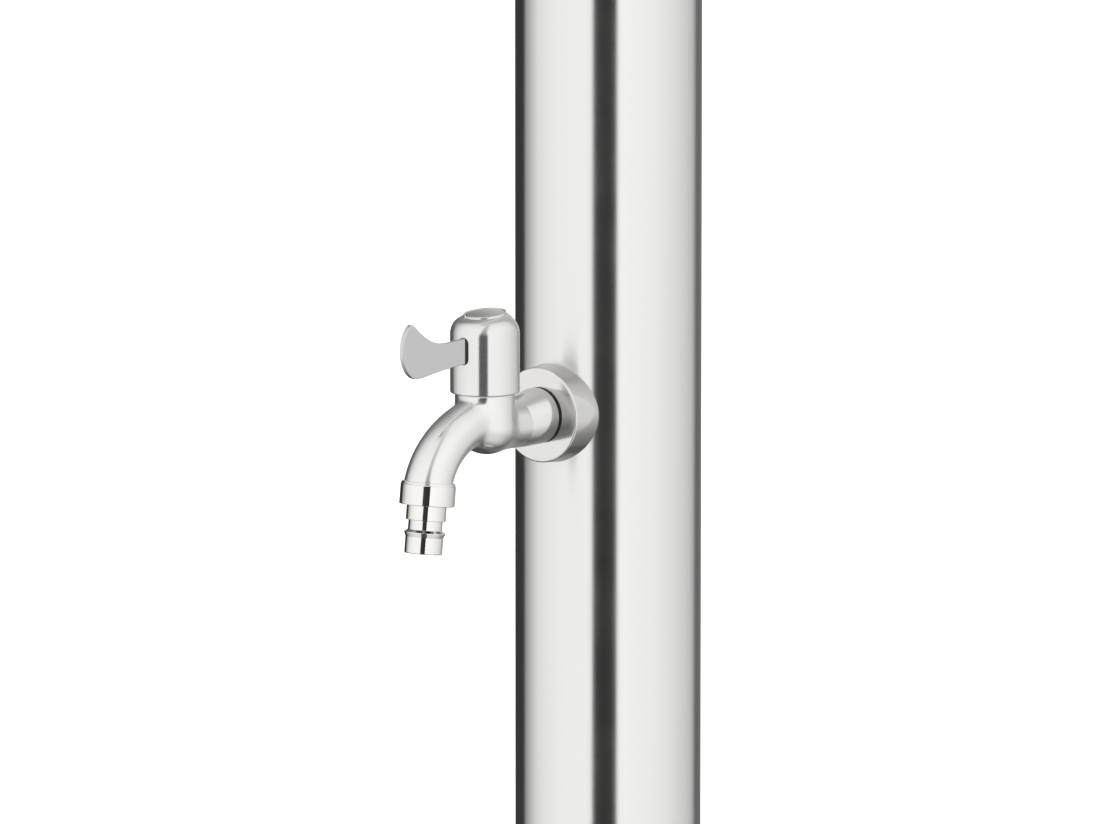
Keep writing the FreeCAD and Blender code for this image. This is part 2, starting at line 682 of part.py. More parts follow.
# ===========================================================================
# Hose nipple under the spout. Local Z points out of the spout.
# ===========================================================================
nozzle = Placement(body_place.Base + Vector(0, mouth_y, mouth_z), tilt_rot)
co, cl, nb, ne = S("collar_radius"), S("collar_long"), S("nipple_bore"), S("nipple_end_radius")
turned("hose_nipple", [
    (8.9, 0.0), (co - 0.4, 0.0), (co, 0.4), (co, cl - 0.4), (co - 0.4, cl), (8.05, cl),
    (8.05, 14.2), (7.8, 14.5), (6.9, 14.5), (6.9, 18.3), (8.3, 19.35), (8.3, 19.6), (ne, 21.3),
    (ne, 27.3), (ne - 0.6, 27.9), (nb, 27.9), (nb, 6.6), (8.9, 6.6)], nozzle)
ring("hose_nipple_washer", 8.8, 5.0, 5.0, 6.6, nozzle)


# ===========================================================================
# Handle and headwork, used on the foot tap and, larger, on the shower valve.
# Local frame: +Z along the spindle, the lever points along local -Y.
# ===========================================================================
def headwork(prefix, place, f):
    def m(value):
        return f * value

    # ---- fixed pieces ----
    ring(prefix + "_seat_seal", m(7.4), m(4.0), m(-2.0), m(-1.0), place)
    b = body_of(prefix + "_fixed_disc")
    pad(b, circles(b, "XY_Plane", prefix + "_fixed", [
        (0, 0, m(7.55)), (m(3.6), 0, m(1.9)), (m(-3.6), 0, m(1.9))], offset=m(-1.0)), m(2.5))
    done(b, prefix + "_fixed_disc", place)
    b = body_of(prefix + "_cartridge")
    revolve(b, outline(b, "XZ_Plane", prefix + "_shell", [
        (m(7.6), m(-1.9)), (m(9.3), m(-1.9)), (m(9.3), m(9.0)), (m(9.5), m(9.0)), (m(9.5), m(13.2)),
        (m(11.0), m(13.2)), (m(11.0), m(15.7)), (m(7.4), m(15.7)), (m(7.4), m(22.0)),
        (m(4.06), m(22.0)), (m(4.06), m(9.5)), (m(7.6), m(9.5))]))
    # two windows that let the water out above the discs
    w = outline(b, "XZ_Plane", prefix + "_window", [(m(-3.2), m(3.6)), (m(3.2), m(3.6)), (m(3.2), m(8.4)), (m(-3.2), m(8.4))])
    pocket(b, w, m(24.0), both=True)
    done(b, prefix + "_cartridge", place)

    # ---- turning pieces ----
    b = body_of(prefix + "_moving_disc")
    pad(b, circles(b, "XY_Plane", prefix + "_moving", [
        (0, 0, m(7.3)), (0, m(3.6), m(1.9)), (0, m(-3.6), m(1.9))], offset=m(1.55)), m(2.5))
    done(b, prefix + "_moving_disc", place)
    turned(prefix + "_spindle", [
        (0, m(4.05)), (m(7.2), m(4.05)), (m(7.2), m(6.6)), (m(4.0), m(6.6)), (m(4.0), m(17.0)),
        (m(2.9), m(17.0)), (m(2.9), m(18.6)), (m(4.0), m(18.6)), (m(4.0), m(22.3)), (m(3.6), m(22.3)),
        (m(3.6), m(30.0)), (m(2.0), m(30.0)), (m(2.0), m(20.5)), (0, m(20.5))], place)
    b = body_of(prefix + "_spindle_o_ring")
    revolve(b, circles(b, "XZ_Plane", prefix + "_o_section", [(m(3.45), m(17.8), m(0.52))]))
    done(b, prefix + "_spindle_o_ring", place)
    # sleeve on the spindle's square, slotted for the lever's tang
    lh, lt = S("lever_height") * f, S("lever_thick") * f
    b = body_of(prefix + "_lever_hub")
    web = S("hcap_web") * f
    revolve(b, outline(b, "XZ_Plane", prefix + "_hub", [
        (m(3.6), m(22.4)), (m(7.2), m(22.4)), (m(7.2), web), (m(2.1), web), (m(2.1), m(30.0)), (m(3.6), m(30.0))]))
    slot = outline(b, "XZ_Plane", prefix + "_hub_slot", [
        (-lt / 2, lh - m(5.45)), (lt / 2, lh - m(5.45)), (lt / 2, lh + m(5.5)), (-lt / 2, lh + m(5.5))], offset=m(4.3))
    pocket(b, slot, m(6.0), back=True)
    pocket(b, circles(b, "XY_Plane", prefix + "_pin_hole", [(0, m(-5.75), m(0.7))], offset=m(22.4)), m(20.0), back=True)
    done(b, prefix + "_lever_hub", place)
    b = body_of(prefix + "_lever_pin")
    pad(b, circles(b, "XY_Plane", prefix + "_pin", [(0, m(-5.75), m(0.7))], offset=m(23.0)), m(13.9))
    done(b, prefix + "_lever_pin", place)
    turned(prefix + "_handle_screw", [
        (0, m(21.0)), (m(2.0), m(21.0)), (m(2.0), web + m(2.0)), (m(3.9), web + m(2.0)),
        (m(3.9), web + m(5.0)), (m(1.4), web + m(5.0)), (m(1.4), web + m(3.0)), (0, web + m(3.0))], place)

    # cap: a turned cup with a domed shoulder and a top that slopes to the lever
    hr, hb, hs, ht = S("hcap_radius") * f, S("hcap_bottom") * f, S("hcap_side") * f, S("hcap_top") * f
    hi = S("hcap_bore") * f
    b = body_of(prefix + "_handle_cap")
    revolve(b, outline(b, "XZ_Plane", prefix + "_cap", [
        (hi, hb), (hr - m(1.5), hb), (hr, hb + m(1.6), (hr - m(0.42), hb + m(0.45))), (hr, hs),
        (m(8.6), m(44.8), (m(11.66), m(42.86))), (m(7.6), ht + m(1.3)), (0, ht + m(1.3)), (0, web + m(2.0)),
        (m(2.2), web + m(2.0)), (m(2.2), web), (hi - m(0.3), web), (hi, web - m(0.3))]))
    # the sloping top is cut by a block turned about the local X axis
    slope = VALUE["top_slope"]
    flat = b.newObject("Sketcher::SketchObject", prefix + "_slope")
    flat.AttachmentSupport = [(origin_plane(b, "XY_Plane"), "")]
    flat.MapMode = "FlatFace"
    flat.AttachmentOffset = Placement(Vector(0, 0, float(ht)), Rotation(Vector(1, 0, 0), slope))
    flat.setExpression("AttachmentOffset.Base.z", ht.text)
    i = flat.addGeometry(Part.Circle(Vector(0, 0, 0), Vector(0, 0, 1), float(m(20.0))), False)
    flat.addConstraint(Sketcher.Constraint("Coincident", i, 3, -1, 1))
    flat.addConstraint(Sketcher.Constraint("Radius", i, float(m(20.0))))
    pocket(b, flat, m(8.0), back=True)
    # counterbore for the plug, square to the sloping top
    for depth, rad in ((1.6, S("plug_radius") * f + m(0.08)), (3.4, m(6.0))):
        seat = b.newObject("Sketcher::SketchObject", prefix + "_seat")
        seat.AttachmentSupport = [(origin_plane(b, "XY_Plane"), "")]
        seat.MapMode = "FlatFace"
        seat.AttachmentOffset = Placement(Vector(0, 0, float(ht)), Rotation(Vector(1, 0, 0), slope))
        seat.setExpression("AttachmentOffset.Base.z", ht.text)
        i = seat.addGeometry(Part.Circle(Vector(0, 0, 0), Vector(0, 0, 1), float(rad)), False)
        seat.addConstraint(Sketcher.Constraint("Coincident", i, 3, -1, 1))
        c2 = seat.addConstraint(Sketcher.Constraint("Radius", i, float(rad)))
        seat.setExpression("Constraints[%d]" % c2, rad.text)
        pocket(b, seat, m(depth))
    sk = circles(b, "XY_Plane", prefix + "_screw_room", [(0, 0, m(4.6))], offset=web + m(2.0))
    pocket(b, sk, m(9.0), back=True)
    # obround slot for the lever in the cap's side
    sw, st = S("slot_width") * f / 2, S("slot_tall") * f / 2
    ob = outline(b, "XZ_Plane", prefix + "_slot", [
        (-sw, lh - st + sw), (sw, lh - st + sw, (0, lh - st)), (sw, lh + st - sw), (-sw, lh + st - sw, (0, lh + st))],
        offset=m(5.0))
    pocket(b, ob, m(12.0), back=True)
    done(b, prefix + "_handle_cap", place)

    # plug that hides the screw
    tilt = Placement(Vector(0, 0, float(ht)), Rotation(Vector(1, 0, 0), slope))
    pr_ = S("plug_radius") * f
    turned(prefix + "_handle_plug", [
        (0, m(-1.6)), (m(5.2), m(-1.6)), (m(5.2), m(-2.6)), (m(5.9), m(-2.6)), (m(5.9), m(-1.6)),
        (pr_, m(-1.6)), (pr_, m(0.15)), (pr_ - m(0.45), m(0.55)),
        (0, m(1.0), dome_mid(pr_ - m(0.45), m(0.55), m(1.0)))],
        place.multiply(tilt))

    # fishtail lever, a flat blade in the plane of the spindle
    top = [(-5.0, 5.3), (-24.0, 4.75), (-45.6, 13.6, (-34.7, 6.5)), (-49.0, 13.9, (-47.3, 14.75)),
           (-48.8, -6.0, (-53.5, 4.2)), (-43.9, -7.75, (-46.7, -7.45)), (-15.4, -5.2), (-5.0, -4.7)]
    pts = []
    for p_ in top:
        q = [m(p_[0]), lh + m(p_[1])]
        if len(p_) == 3:
            q.append((m(p_[2][0]), lh + m(p_[2][1])))
        pts.append(tuple(q))
    b = body_of(prefix + "_lever")
    pad(b, outline(b, "YZ_Plane", prefix + "_blade", pts), lt, both=True)
    pocket(b, circles(b, "XY_Plane", prefix + "_tang_hole", [(0, m(-5.75), m(0.7))], offset=lh - m(7.0)), m(14.0), back=True)
    done(b, prefix + "_lever", place)


ONE = Q(1.0, "1")
headwork("tap", at(0, -float(ba), float(tl)), ONE)
vo = S("valve_origin")
vf = S("valve_factor")
valve_place = Placement(Vector(0, -float(vo), float(vl)), FRONT)
headwork("valve", valve_place, vf)

# ===========================================================================
# Shower valve body inside the column, its rosette and its sleeve nut
# ===========================================================================
neck_end = vo + 13.2 * vf
v_run = cyl("valve_run", 11.5, 92.0, level(float(vl) - 46.0))
v_boss = cyl("valve_boss", 17.5, 50.0, Placement(Vector(0, 8.0, float(vl)), FRONT))
v_in = cyl("valve_inner_wall", ci, 100.0, level(float(vl) - 50.0))
v_seat = common("valve_seated", v_boss, v_in)
v_nose = cyl("valve_nose", 13.4, neck_end - 20.0, Placement(Vector(0, -20.0, float(vl)), FRONT))
v_solid = fuse("valve_solid", [v_run, v_seat, v_nose])
h1 = cyl("valve_low_bore", pb, 41.0, level(float(vl) - 47.0))
h2 = cyl("valve_high_bore", pb, 41.0, level(float(vl) + 6.0))
h3 = cyl("valve_low_socket", pr, 17.0, level(float(vl) - 47.0))
h4 = cyl("valve_high_socket", pr, 17.0, level(float(vl) + 30.0))
h5 = cyl("valve_inlet_way", 4.0, 38.0, Placement(Vector(0, 0, float(vl)), FRONT))
h6 = cyl("valve_outlet_way", 2.0, 40.0, Placement(Vector(0, 0, float(vl) + 9.6), FRONT))
h7 = cyl("valve_chamber", 9.5 * vf, neck_end, Placement(Vector(0, -37.5, float(vl)), FRONT))
h8 = cyl("valve_low_cross", 4.0, 8.0, level(float(vl) - 8.0))
v_hollow = fuse("valve_hollow", [h1, h2, h3, h4, h5, h6, h7, h8])
done(cut("valve_body", v_solid, v_hollow), "valve_body")

rosette("valve_rosette", 31.0, 46.0, 13.5, vl, 1.5)
ring_in = 13.4
turned("valve_sleeve_nut", [
    (ring_in, 46.0), (15.1, 46.0), (15.1, neck_end - 0.6), (14.5, neck_end), (ring_in, neck_end)],
    Placement(Vector(0, 0, float(vl)), FRONT))

# ===========================================================================
# Shower arm: horizontal run, one bend, short drop
# ===========================================================================
ar, ai, reach, bend, drop = S("arm_radius"), S("arm_bore"), S("arm_reach"), S("arm_bend"), S("arm_end_drop")
b = body_of("shower_arm")
s2 = math.sqrt(0.5)


mid = (-(float(reach) - float(bend)) - float(bend) * s2, -float(bend) * (1 - s2))


def arm_path(name):
    return outline(b, "YZ_Plane", name, [(-18.0, 0), (-(reach - bend), 0), (-reach, -bend, mid), (-reach, -drop)], closed=False)


sk = circles(b, "XZ_Plane", "arm_outer", [(0, 0, ar)], offset=18.0)
f = b.newObject("PartDesign::AdditivePipe", "ArmTube")
f.Profile = sk
f.Spine = (arm_path("arm_line"), [])
doc.recompute()
sk = circles(b, "XZ_Plane", "arm_inner", [(0, 0, ai)], offset=18.0)
f = b.newObject("PartDesign::SubtractivePipe", "ArmBore")
f.Profile = sk
f.Spine = (arm_path("arm_bore_line"), [])
doc.recompute()
done(b, "shower_arm", at(0, 0, float(al)))

# ===========================================================================
# Ball joint and rain head. Local origin of all of them: the ball's centre.
# ===========================================================================
ball_at = at(0, -float(reach), float(al) - float(S("ball_drop")))
br, so = S("ball_radius"), S("socket_radius")
gap_up = S("ball_drop") - drop          # ball centre to the arm's end
nk = 6.3
nz = math.sqrt(float(br) ** 2 - nk ** 2)
bb = 4.0
bz = -math.sqrt(float(br) ** 2 - bb ** 2)
turned("head_ball_stud", [
    (bb, bz), (nk, nz, (float(br) * math.cos(math.radians(-12)), float(br) * math.sin(math.radians(-12)))),
    (nk, 16.0), (7.3, 17.0), (13.2, 17.0), (14.0, 17.8), (14.0, gap_up + 12.2), (13.2, gap_up + 13.0), (ar, gap_up + 13.0),
    (ar, gap_up - 1.6), (bb, gap_up - 1.6)], ball_at)
# filter washer between the arm's end and the stud
b = body_of("head_filter_washer")
pad(b, circles(b, "XY_Plane", "filter_disc", [(0, 0, 10.8)], offset=gap_up - 1.6), 1.6)
p = pocket(b, circles(b, "XY_Plane", "filter_hole", [(5.4, 0, 1.1)], offset=gap_up - 1.6), 1.6, back=True)
polar(b, p, 8)
done(b, "head_filter_washer", ball_at)
# slippery seat ring around the ball
si, se = 11.08, float(so) - 0.15
zl, zh = -6.0, 5.0


def on_sphere(r, z):
    return math.sqrt(r * r - z * z)


b = body_of("head_seat_ring")
sk = new_sketch(b, "XZ_Plane", "seat_ring_outline")
P1, P2 = Vector(on_sphere(si, zl), zl, 0), Vector(on_sphere(se, zl), zl, 0)
P3, P4 = Vector(on_sphere(se, zh), zh, 0), Vector(on_sphere(si, zh), zh, 0)
sk.addGeometry(Part.LineSegment(P1, P2), False)
sk.addGeometry(Part.Arc(P2, Vector(se, 0, 0), P3), False)
sk.addGeometry(Part.LineSegment(P3, P4), False)
sk.addGeometry(Part.Arc(P1, Vector(si, 0, 0), P4), False)
revolve(b, sk)
done(b, "head_seat_ring", ball_at)

# union nut over the upper half of the joint
lipz = math.sqrt(float(so) ** 2 - 10.5 ** 2)
b = body_of("head_union_nut")
revolve(b, outline(b, "XZ_Plane", "union_nut_outline", [
    (16.0, -9.0), (18.6, -9.0), (18.6, 7.5), (15.6, 12.0), (13.0, 12.0), (10.5, lipz),
    (on_sphere(float(so), -1.2), -1.2, (float(so) * math.cos(0.3), float(so) * math.sin(0.3))), (16.0, -1.2)]))
# two flats for a spanner
sk = new_sketch(b, "XY_Plane", "nut_flats", offset=-10.0)
for sgn in (1, -1):
    q = [Vector(-20, sgn * 17.4, 0), Vector(20, sgn * 17.4, 0), Vector(20, sgn * 22, 0), Vector(-20, sgn * 22, 0)]
    for i in range(4):
        sk.addGeometry(Part.LineSegment(q[i], q[(i + 1) % 4]), False)
pocket(b, sk, 9.0, back=True)
done(b, "head_union_nut", ball_at)

# head shell: threaded socket, flat cone and turned-down rim
hd = S("head_radius")
turned("head_shell", [
    (4.5, -18.0), (4.5, -13.415), (14.0995, -1.2, (float(so) * math.cos(math.radians(-40)), float(so) * math.sin(math.radians(-40)))),
    (16.0, -1.2), (16.0, -15.0), (20.0, -18.5, (17.2, -17.5)), (hd - 6.0, -25.0), (hd, -29.5, (hd - 1.6, -26.6)), (hd, -36.5),
    (hd - 1.6, -36.5), (hd - 1.6, -31.0), (hd - 6.0, -28.0), (24.0, -21.8), (10.0, -20.6)], ball_at)
# tapped pillars inside the shell take the spray plate's screws
shell = parts["head_shell"]
p = pad(shell, circles(shell, "XY_Plane", "pillar", [(0, 92.0, 3.5)], offset=-33.6), 7.0)
polar(shell, p, 5)
p = pocket(shell, circles(shell, "XY_Plane", "pillar_hole", [(0, 92.0, 1.55)], offset=-33.6), 3.2, back=True)
polar(shell, p, 5)

# spray plate with rings of holes
RINGS = [(16.0, 6), (33.0, 12), (50.0, 18), (67.0, 24), (84.0, 30)]
b = body_of("head_spray_plate")
pad(b, circles(b, "XY_Plane", "plate_disc", [(0, 0, hd - 1.75)], offset=-36.3), 1.5)
for rr, nn in RINGS:
    p = pocket(b, circles(b, "XY_Plane", "spray_hole_%d" % nn, [(rr, 0, 1.9)], offset=-36.3), 1.5, back=True)
    polar(b, p, nn)
p = pocket(b, circles(b, "XY_Plane", "screw_hole", [(0, 92.0, 1.7)], offset=-36.3), 1.5, back=True)
polar(b, p, 5)
done(b, "head_spray_plate", ball_at)

# silicone mat whose nipples reach through the plate and whose rim is the seal
b = body_of("head_nozzle_mat")
pad(b, circles(b, "XY_Plane", "mat_disc", [(0, 0, hd - 4.0)], offset=-34.8), 1.2)
for rr, nn in RINGS:
    p = pad(b, circles(b, "XY_Plane", "nipple_%d" % nn, [(rr, 0, 1.6)], offset=-34.8), 3.2, back=True)
    polar(b, p, nn)
for rr, nn in RINGS:
    p = pocket(b, circles(b, "XY_Plane", "jet_%d" % nn, [(rr, 0, 0.6)], offset=-38.1), 5.0, back=True)
    polar(b, p, nn)
p = pocket(b, circles(b, "XY_Plane", "mat_screw", [(0, 92.0, 2.0)], offset=-34.8), 1.2, back=True)
polar(b, p, 5)
done(b, "head_nozzle_mat", ball_at)

b = body_of("head_screw")
revolve(b, outline(b, "XZ_Plane", "head_screw_outline", [
    (0, -36.1), (1.0, -36.1), (1.0, -36.7), (2.6, -36.7), (2.6, -36.3), (1.55, -36.3), (1.55, -30.5), (0, -30.5)]))
screws = []
for i in range(5):
    sh = b.Shape.copy()
    sh.translate(Vector(0, 92.0, 0))
    sh.rotate(Vector(0, 0, 0), Vector(0, 0, 1), 72.0 * i)
    screws.append(sh)
o = doc.addObject("Part::Feature", "head_screws_set")
o.Shape = Part.makeCompound(screws)
done(o, "head_screws", ball_at)

# ===========================================================================
# Check everything, then write one file per piece
# ===========================================================================
doc.recompute()
faults = []
for obj in doc.Objects:
    if "Invalid" in obj.State or "Error" in obj.State:
        faults.append("%s is %s" % (obj.Name, obj.State))
for name, obj in parts.items():
    sh = obj.Shape
    if sh.isNull() or not sh.isValid() or not sh.Solids:
        faults.append("%s has no valid solid" % name)
if faults:
    raise RuntimeError("; ".join(faults))

os.makedirs("parts", exist_ok=True)
for old in os.listdir("parts"):
    if old.endswith(".step") and old[:-5] not in parts:
        os.remove(os.path.join("parts", old))
for name, obj in parts.items():
    obj.Shape.exportStep("parts/%s.step" % name)
    bb_ = obj.Shape.BoundBox
    print("%-22s solids %d volume %10.1f  x %8.2f %8.2f  y %8.2f %8.2f  z %8.2f %8.2f" % (
        name, len(obj.Shape.Solids), obj.Shape.Volume, bb_.XMin, bb_.XMax, bb_.YMin, bb_.YMax, bb_.ZMin, bb_.ZMax))
print(len(parts), "pieces")
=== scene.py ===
import bpy
import bmesh
import json
import math
import numpy as np
from mathutils import Matrix, Vector


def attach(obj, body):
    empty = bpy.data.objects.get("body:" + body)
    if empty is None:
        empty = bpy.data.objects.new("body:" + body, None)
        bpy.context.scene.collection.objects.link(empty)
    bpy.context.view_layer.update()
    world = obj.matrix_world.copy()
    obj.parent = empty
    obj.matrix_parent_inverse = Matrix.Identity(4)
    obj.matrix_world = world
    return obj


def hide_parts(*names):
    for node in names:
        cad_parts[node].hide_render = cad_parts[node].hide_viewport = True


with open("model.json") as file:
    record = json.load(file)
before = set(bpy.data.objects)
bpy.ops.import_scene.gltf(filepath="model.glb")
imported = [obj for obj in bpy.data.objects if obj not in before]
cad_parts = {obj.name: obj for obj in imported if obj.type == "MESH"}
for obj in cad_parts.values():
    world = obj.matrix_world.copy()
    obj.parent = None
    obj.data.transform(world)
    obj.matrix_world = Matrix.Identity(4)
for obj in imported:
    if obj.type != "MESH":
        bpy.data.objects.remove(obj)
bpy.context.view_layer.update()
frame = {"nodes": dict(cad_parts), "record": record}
nodes = frame["nodes"]
scene = bpy.context.scene

TAP = 500.0      # height of the foot tap's axis, mm
VALVE = 1100.0   # height of the shower valve's axis, mm
ARM = 2050.0     # height of the arm, mm
BODY_D = 81.1    # distance of the tap's spindle from the column's axis, mm
VIEW_AZ = 38.0
VIEW_EL = 8.4

# ---------------------------------------------------------------------------
# Node-tree helpers
# ---------------------------------------------------------------------------


class Tree:
    def __init__(self, tree):
        self.t = tree
        self.n = tree.nodes
        self.l = tree.links

    def add(self, kind, **values):
        node = self.n.new(kind)
        for key, value in values.items():
            setattr(node, key, value)
        return node

    def link(self, a, b):
        self.l.new(a, b)

    def math(self, op, a, b=None, c=None, clamp=False):
        node = self.add("ShaderNodeMath", operation=op, use_clamp=clamp)
        for i, v in enumerate((a, b, c)):
            if v is None:
                continue
            if isinstance(v, (int, float)):
                node.inputs[i].default_value = float(v)
            else:
                self.link(v, node.inputs[i])
        return node.outputs[0]

    def ramp(self, fac, stops, mode="LINEAR"):
        node = self.add("ShaderNodeValToRGB")
        cr = node.color_ramp
        cr.interpolation = mode
        while len(cr.elements) > 1:
            cr.elements.remove(cr.elements[-1])
        cr.elements[0].position = stops[0][0]
        first = True
        for pos, col in stops:
            if isinstance(col, (int, float)):
                col = (col, col, col)
            if first:
                e = cr.elements[0]
                first = False
            else:
                e = cr.elements.new(pos)
            e.position = pos
            e.color = (col[0], col[1], col[2], 1.0)
        self.link(fac, node.inputs[0])
        return node.outputs[0]

    def range(self, value, a, b, c, d):
        node = self.add("ShaderNodeMapRange", clamp=True)
        self.link(value, node.inputs[0])
        for i, v in enumerate((a, b, c, d), 1):
            node.inputs[i].default_value = v
        return node.outputs[0]

    def scaled(self, vector, scale):
        node = self.add("ShaderNodeMapping")
        self.link(vector, node.inputs["Vector"])
        node.inputs["Scale"].default_value = scale
        return node.outputs[0]

    def noise(self, vector, scale, detail=2.0, rough=0.5, distortion=0.0):
        node = self.add("ShaderNodeTexNoise")
        self.link(vector, node.inputs["Vector"])
        node.inputs["Scale"].default_value = scale
        node.inputs["Detail"].default_value = detail
        node.inputs["Roughness"].default_value = rough
        node.inputs["Distortion"].default_value = distortion
        return node.outputs["Fac"]


def part_coords(tr):
    """Coordinates of the piece itself in mm, read from its stored attribute lp."""
    a = tr.add("ShaderNodeAttribute", attribute_type="GEOMETRY", attribute_name="lp")
    return a.outputs["Vector"]


def object_coords(tr):
    tc = tr.add("ShaderNodeTexCoord")
    return tr.scaled(tc.outputs["Object"], (1000.0, 1000.0, 1000.0))


def new_material(name):
    m = bpy.data.materials.new(name)
    m.use_nodes = True
    tr = Tree(m.node_tree)
    bsdf = m.node_tree.nodes["Principled BSDF"]
    return m, tr, bsdf


def steel(name, color, rough, spread, grain, bump=0.02, turned=False, stored=True,
          tint=0.02, specks=0.0, veil=0.0, along=0.0, painted_root_shade=0.0):
    """Stainless steel. grain = stretch of the brush marks along X, Y, Z (mm per mark);
    turned = rings round the local Z axis instead of straight marks."""
    m, tr, b = new_material(name)
    co = part_coords(tr) if stored else object_coords(tr)
    if turned:
        sep = tr.add("ShaderNodeSeparateXYZ")
        tr.link(co, sep.inputs[0])
        r = tr.math("SQRT", tr.math("ADD", tr.math("MULTIPLY", sep.outputs[0], sep.outputs[0]),
                                    tr.math("MULTIPLY", sep.outputs[1], sep.outputs[1])))
        com = tr.add("ShaderNodeCombineXYZ")
        tr.link(r, com.inputs[0])
        com.inputs[1].default_value = 0.0
        tr.link(sep.outputs[2], com.inputs[2])
        # slow change round the axis keeps the rings from looking printed
        slow = tr.noise(co, 0.09, 2.0)
        tr.link(tr.math("MULTIPLY", slow, 0.6), com.inputs[1])
        marks = tr.scaled(com.outputs[0], tuple(1.0 / g for g in grain))
    else:
        marks = tr.scaled(co, tuple(1.0 / g for g in grain))
    fine = tr.noise(marks, 1.0, 3.0, 0.65)
    broad = tr.noise(marks, 0.23, 2.0, 0.5)
    cloud = tr.noise(co, 0.045, 3.0, 0.55)
    both = tr.math("ADD", tr.math("MULTIPLY", fine, 0.65), tr.math("MULTIPLY", broad, 0.35))
    rgh = tr.math("ADD", tr.range(both, 0.25, 0.75, rough - spread, rough + spread),
                  tr.range(cloud, 0.3, 0.7, -0.012, 0.012))
    if specks:
        dust = tr.noise(co, 2.3, 1.0, 0.4)
        rgh = tr.math("ADD", rgh, tr.range(dust, 0.68, 0.8, 0.0, specks))
    tr.link(rgh, b.inputs["Roughness"])
    dark = tuple(c * (1.0 - tint) for c in color)
    light = tuple(min(1.0, c * (1.0 + tint)) for c in color)
    mixn = tr.add("ShaderNodeMix", data_type="RGBA")
    tr.link(tr.math("ADD", tr.math("MULTIPLY", both, 0.6), tr.math("MULTIPLY", cloud, 0.4)), mixn.inputs[0])
    mixn.inputs[6].default_value = (*dark, 1.0)
    mixn.inputs[7].default_value = (*light, 1.0)
    if painted_root_shade:
        # painted shade: the root inside the cap's slot is darkened in its base colour to stand in for the slot's shadow
        cs = tr.add("ShaderNodeSeparateXYZ")
        tr.link(co, cs.inputs[0])
        root = tr.range(cs.outputs[1], -painted_root_shade - 0.15, -painted_root_shade + 0.15, 0.0, 1.0)
        dm = tr.add("ShaderNodeMix", data_type="RGBA")
        tr.link(root, dm.inputs[0])
        tr.link(mixn.outputs[2], dm.inputs[6])
        dm.inputs[7].default_value = (0.035, 0.035, 0.034, 1.0)
        tr.link(dm.outputs[2], b.inputs["Base Color"])
    else:
        tr.link(mixn.outputs[2], b.inputs["Base Color"])
    b.inputs["Metallic"].default_value = 1.0 - veil
    if along:
        b.inputs["Anisotropic"].default_value = along
        b.inputs["Anisotropic Rotation"].default_value = 0.25
        tn = tr.add("ShaderNodeTangent", direction_type="RADIAL", axis="Z")
        tr.link(tn.outputs[0], b.inputs["Tangent"])
    if bump:
        bp = tr.add("ShaderNodeBump")
        bp.inputs["Strength"].default_value = bump
        bp.inputs["Distance"].default_value = 0.00004
        tr.link(both, bp.inputs["Height"])
        tr.link(bp.outputs[0], b.inputs["Normal"])
    return m


def plain(name, color, rough, metallic=0.0, scale=0.6, tint=0.06, bump=0.1, spread=0.05, stored=True,
          sheen=0.0, coat=0.0, sss=0.0):
    m, tr, b = new_material(name)
    co = part_coords(tr) if stored else object_coords(tr)
    n1 = tr.noise(co, scale, 4.0, 0.6)
    n2 = tr.noise(co, 0.05, 2.0, 0.5)
    mixn = tr.add("ShaderNodeMix", data_type="RGBA")
    tr.link(tr.math("ADD", tr.math("MULTIPLY", n1, 0.5), tr.math("MULTIPLY", n2, 0.5)), mixn.inputs[0])
    mixn.inputs[6].default_value = (*[c * (1.0 - tint) for c in color], 1.0)
    mixn.inputs[7].default_value = (*[min(1.0, c * (1.0 + tint)) for c in color], 1.0)
    tr.link(mixn.outputs[2], b.inputs["Base Color"])
    tr.link(tr.range(n1, 0.3, 0.7, max(0.02, rough - spread), min(1.0, rough + spread)), b.inputs["Roughness"])
    b.inputs["Metallic"].default_value = metallic
    if coat:
        b.inputs["Coat Weight"].default_value = coat
        b.inputs["Coat Roughness"].default_value = 0.08
    if sss:
        b.inputs["Subsurface Weight"].default_value = sss
        b.inputs["Subsurface Radius"].default_value = (0.001, 0.001, 0.001)
    bp = tr.add("ShaderNodeBump")
    bp.inputs["Strength"].default_value = bump
    bp.inputs["Distance"].default_value = 0.0001
    tr.link(n1, bp.inputs["Height"])
    tr.link(bp.outputs[0], b.inputs["Normal"])
    return m


M = {}
M["column"] = steel("steel_brushed_column", (0.635, 0.632, 0.622), 0.205, 0.025, (0.16, 0.16, 46.0), 0.035, tint=0.03, along=0.75)
M["spun"] = steel("steel_spun_brushed", (0.625, 0.622, 0.612), 0.25, 0.04, (0.14, 30.0, 0.14), 0.035, turned=True, tint=0.03)
M["cast"] = steel("steel_satin_cast", (0.70, 0.698, 0.692), 0.165, 0.02, (0.55, 0.55, 0.55), 0.03, tint=0.012, specks=0.03, veil=0.18)
M["cap"] = steel("steel_satin_turned", (0.66, 0.658, 0.652), 0.145, 0.015, (0.20, 30.0, 0.20), 0.02, turned=True, tint=0.012, veil=0.19)
# painted shade on the lever's root inside the slot, nearer than 14.2 mm to the spindle
M["lever"] = steel("steel_satin_flat", (0.56, 0.56, 0.558), 0.36, 0.03, (3.0, 9.0, 0.18), 0.02, tint=0.015, painted_root_shade=14.2)
M["polished"] = steel("steel_polished_turned", (0.67, 0.662, 0.648), 0.075, 0.02, (0.12, 30.0, 0.12), 0.012, turned=True, tint=0.01)
M["rim"] = steel("steel_satin_rim", (0.67, 0.667, 0.66), 0.22, 0.02, (0.12, 30.0, 0.12), 0.012, turned=True, tint=0.012, veil=0.35)
# painted shade: near-black steel standing in for the shadow inside the cap, its slot and the notch pit
M["raw"] = steel("steel_cast_raw", (0.085, 0.084, 0.082), 0.5, 0.05, (0.4, 0.4, 0.4), 0.2, tint=0.2, veil=0.6)
M["rosette"] = steel("steel_polished_disc", (0.615, 0.61, 0.603), 0.10, 0.02, (0.12, 30.0, 0.12), 0.012, turned=True, tint=0.012, veil=0.03)
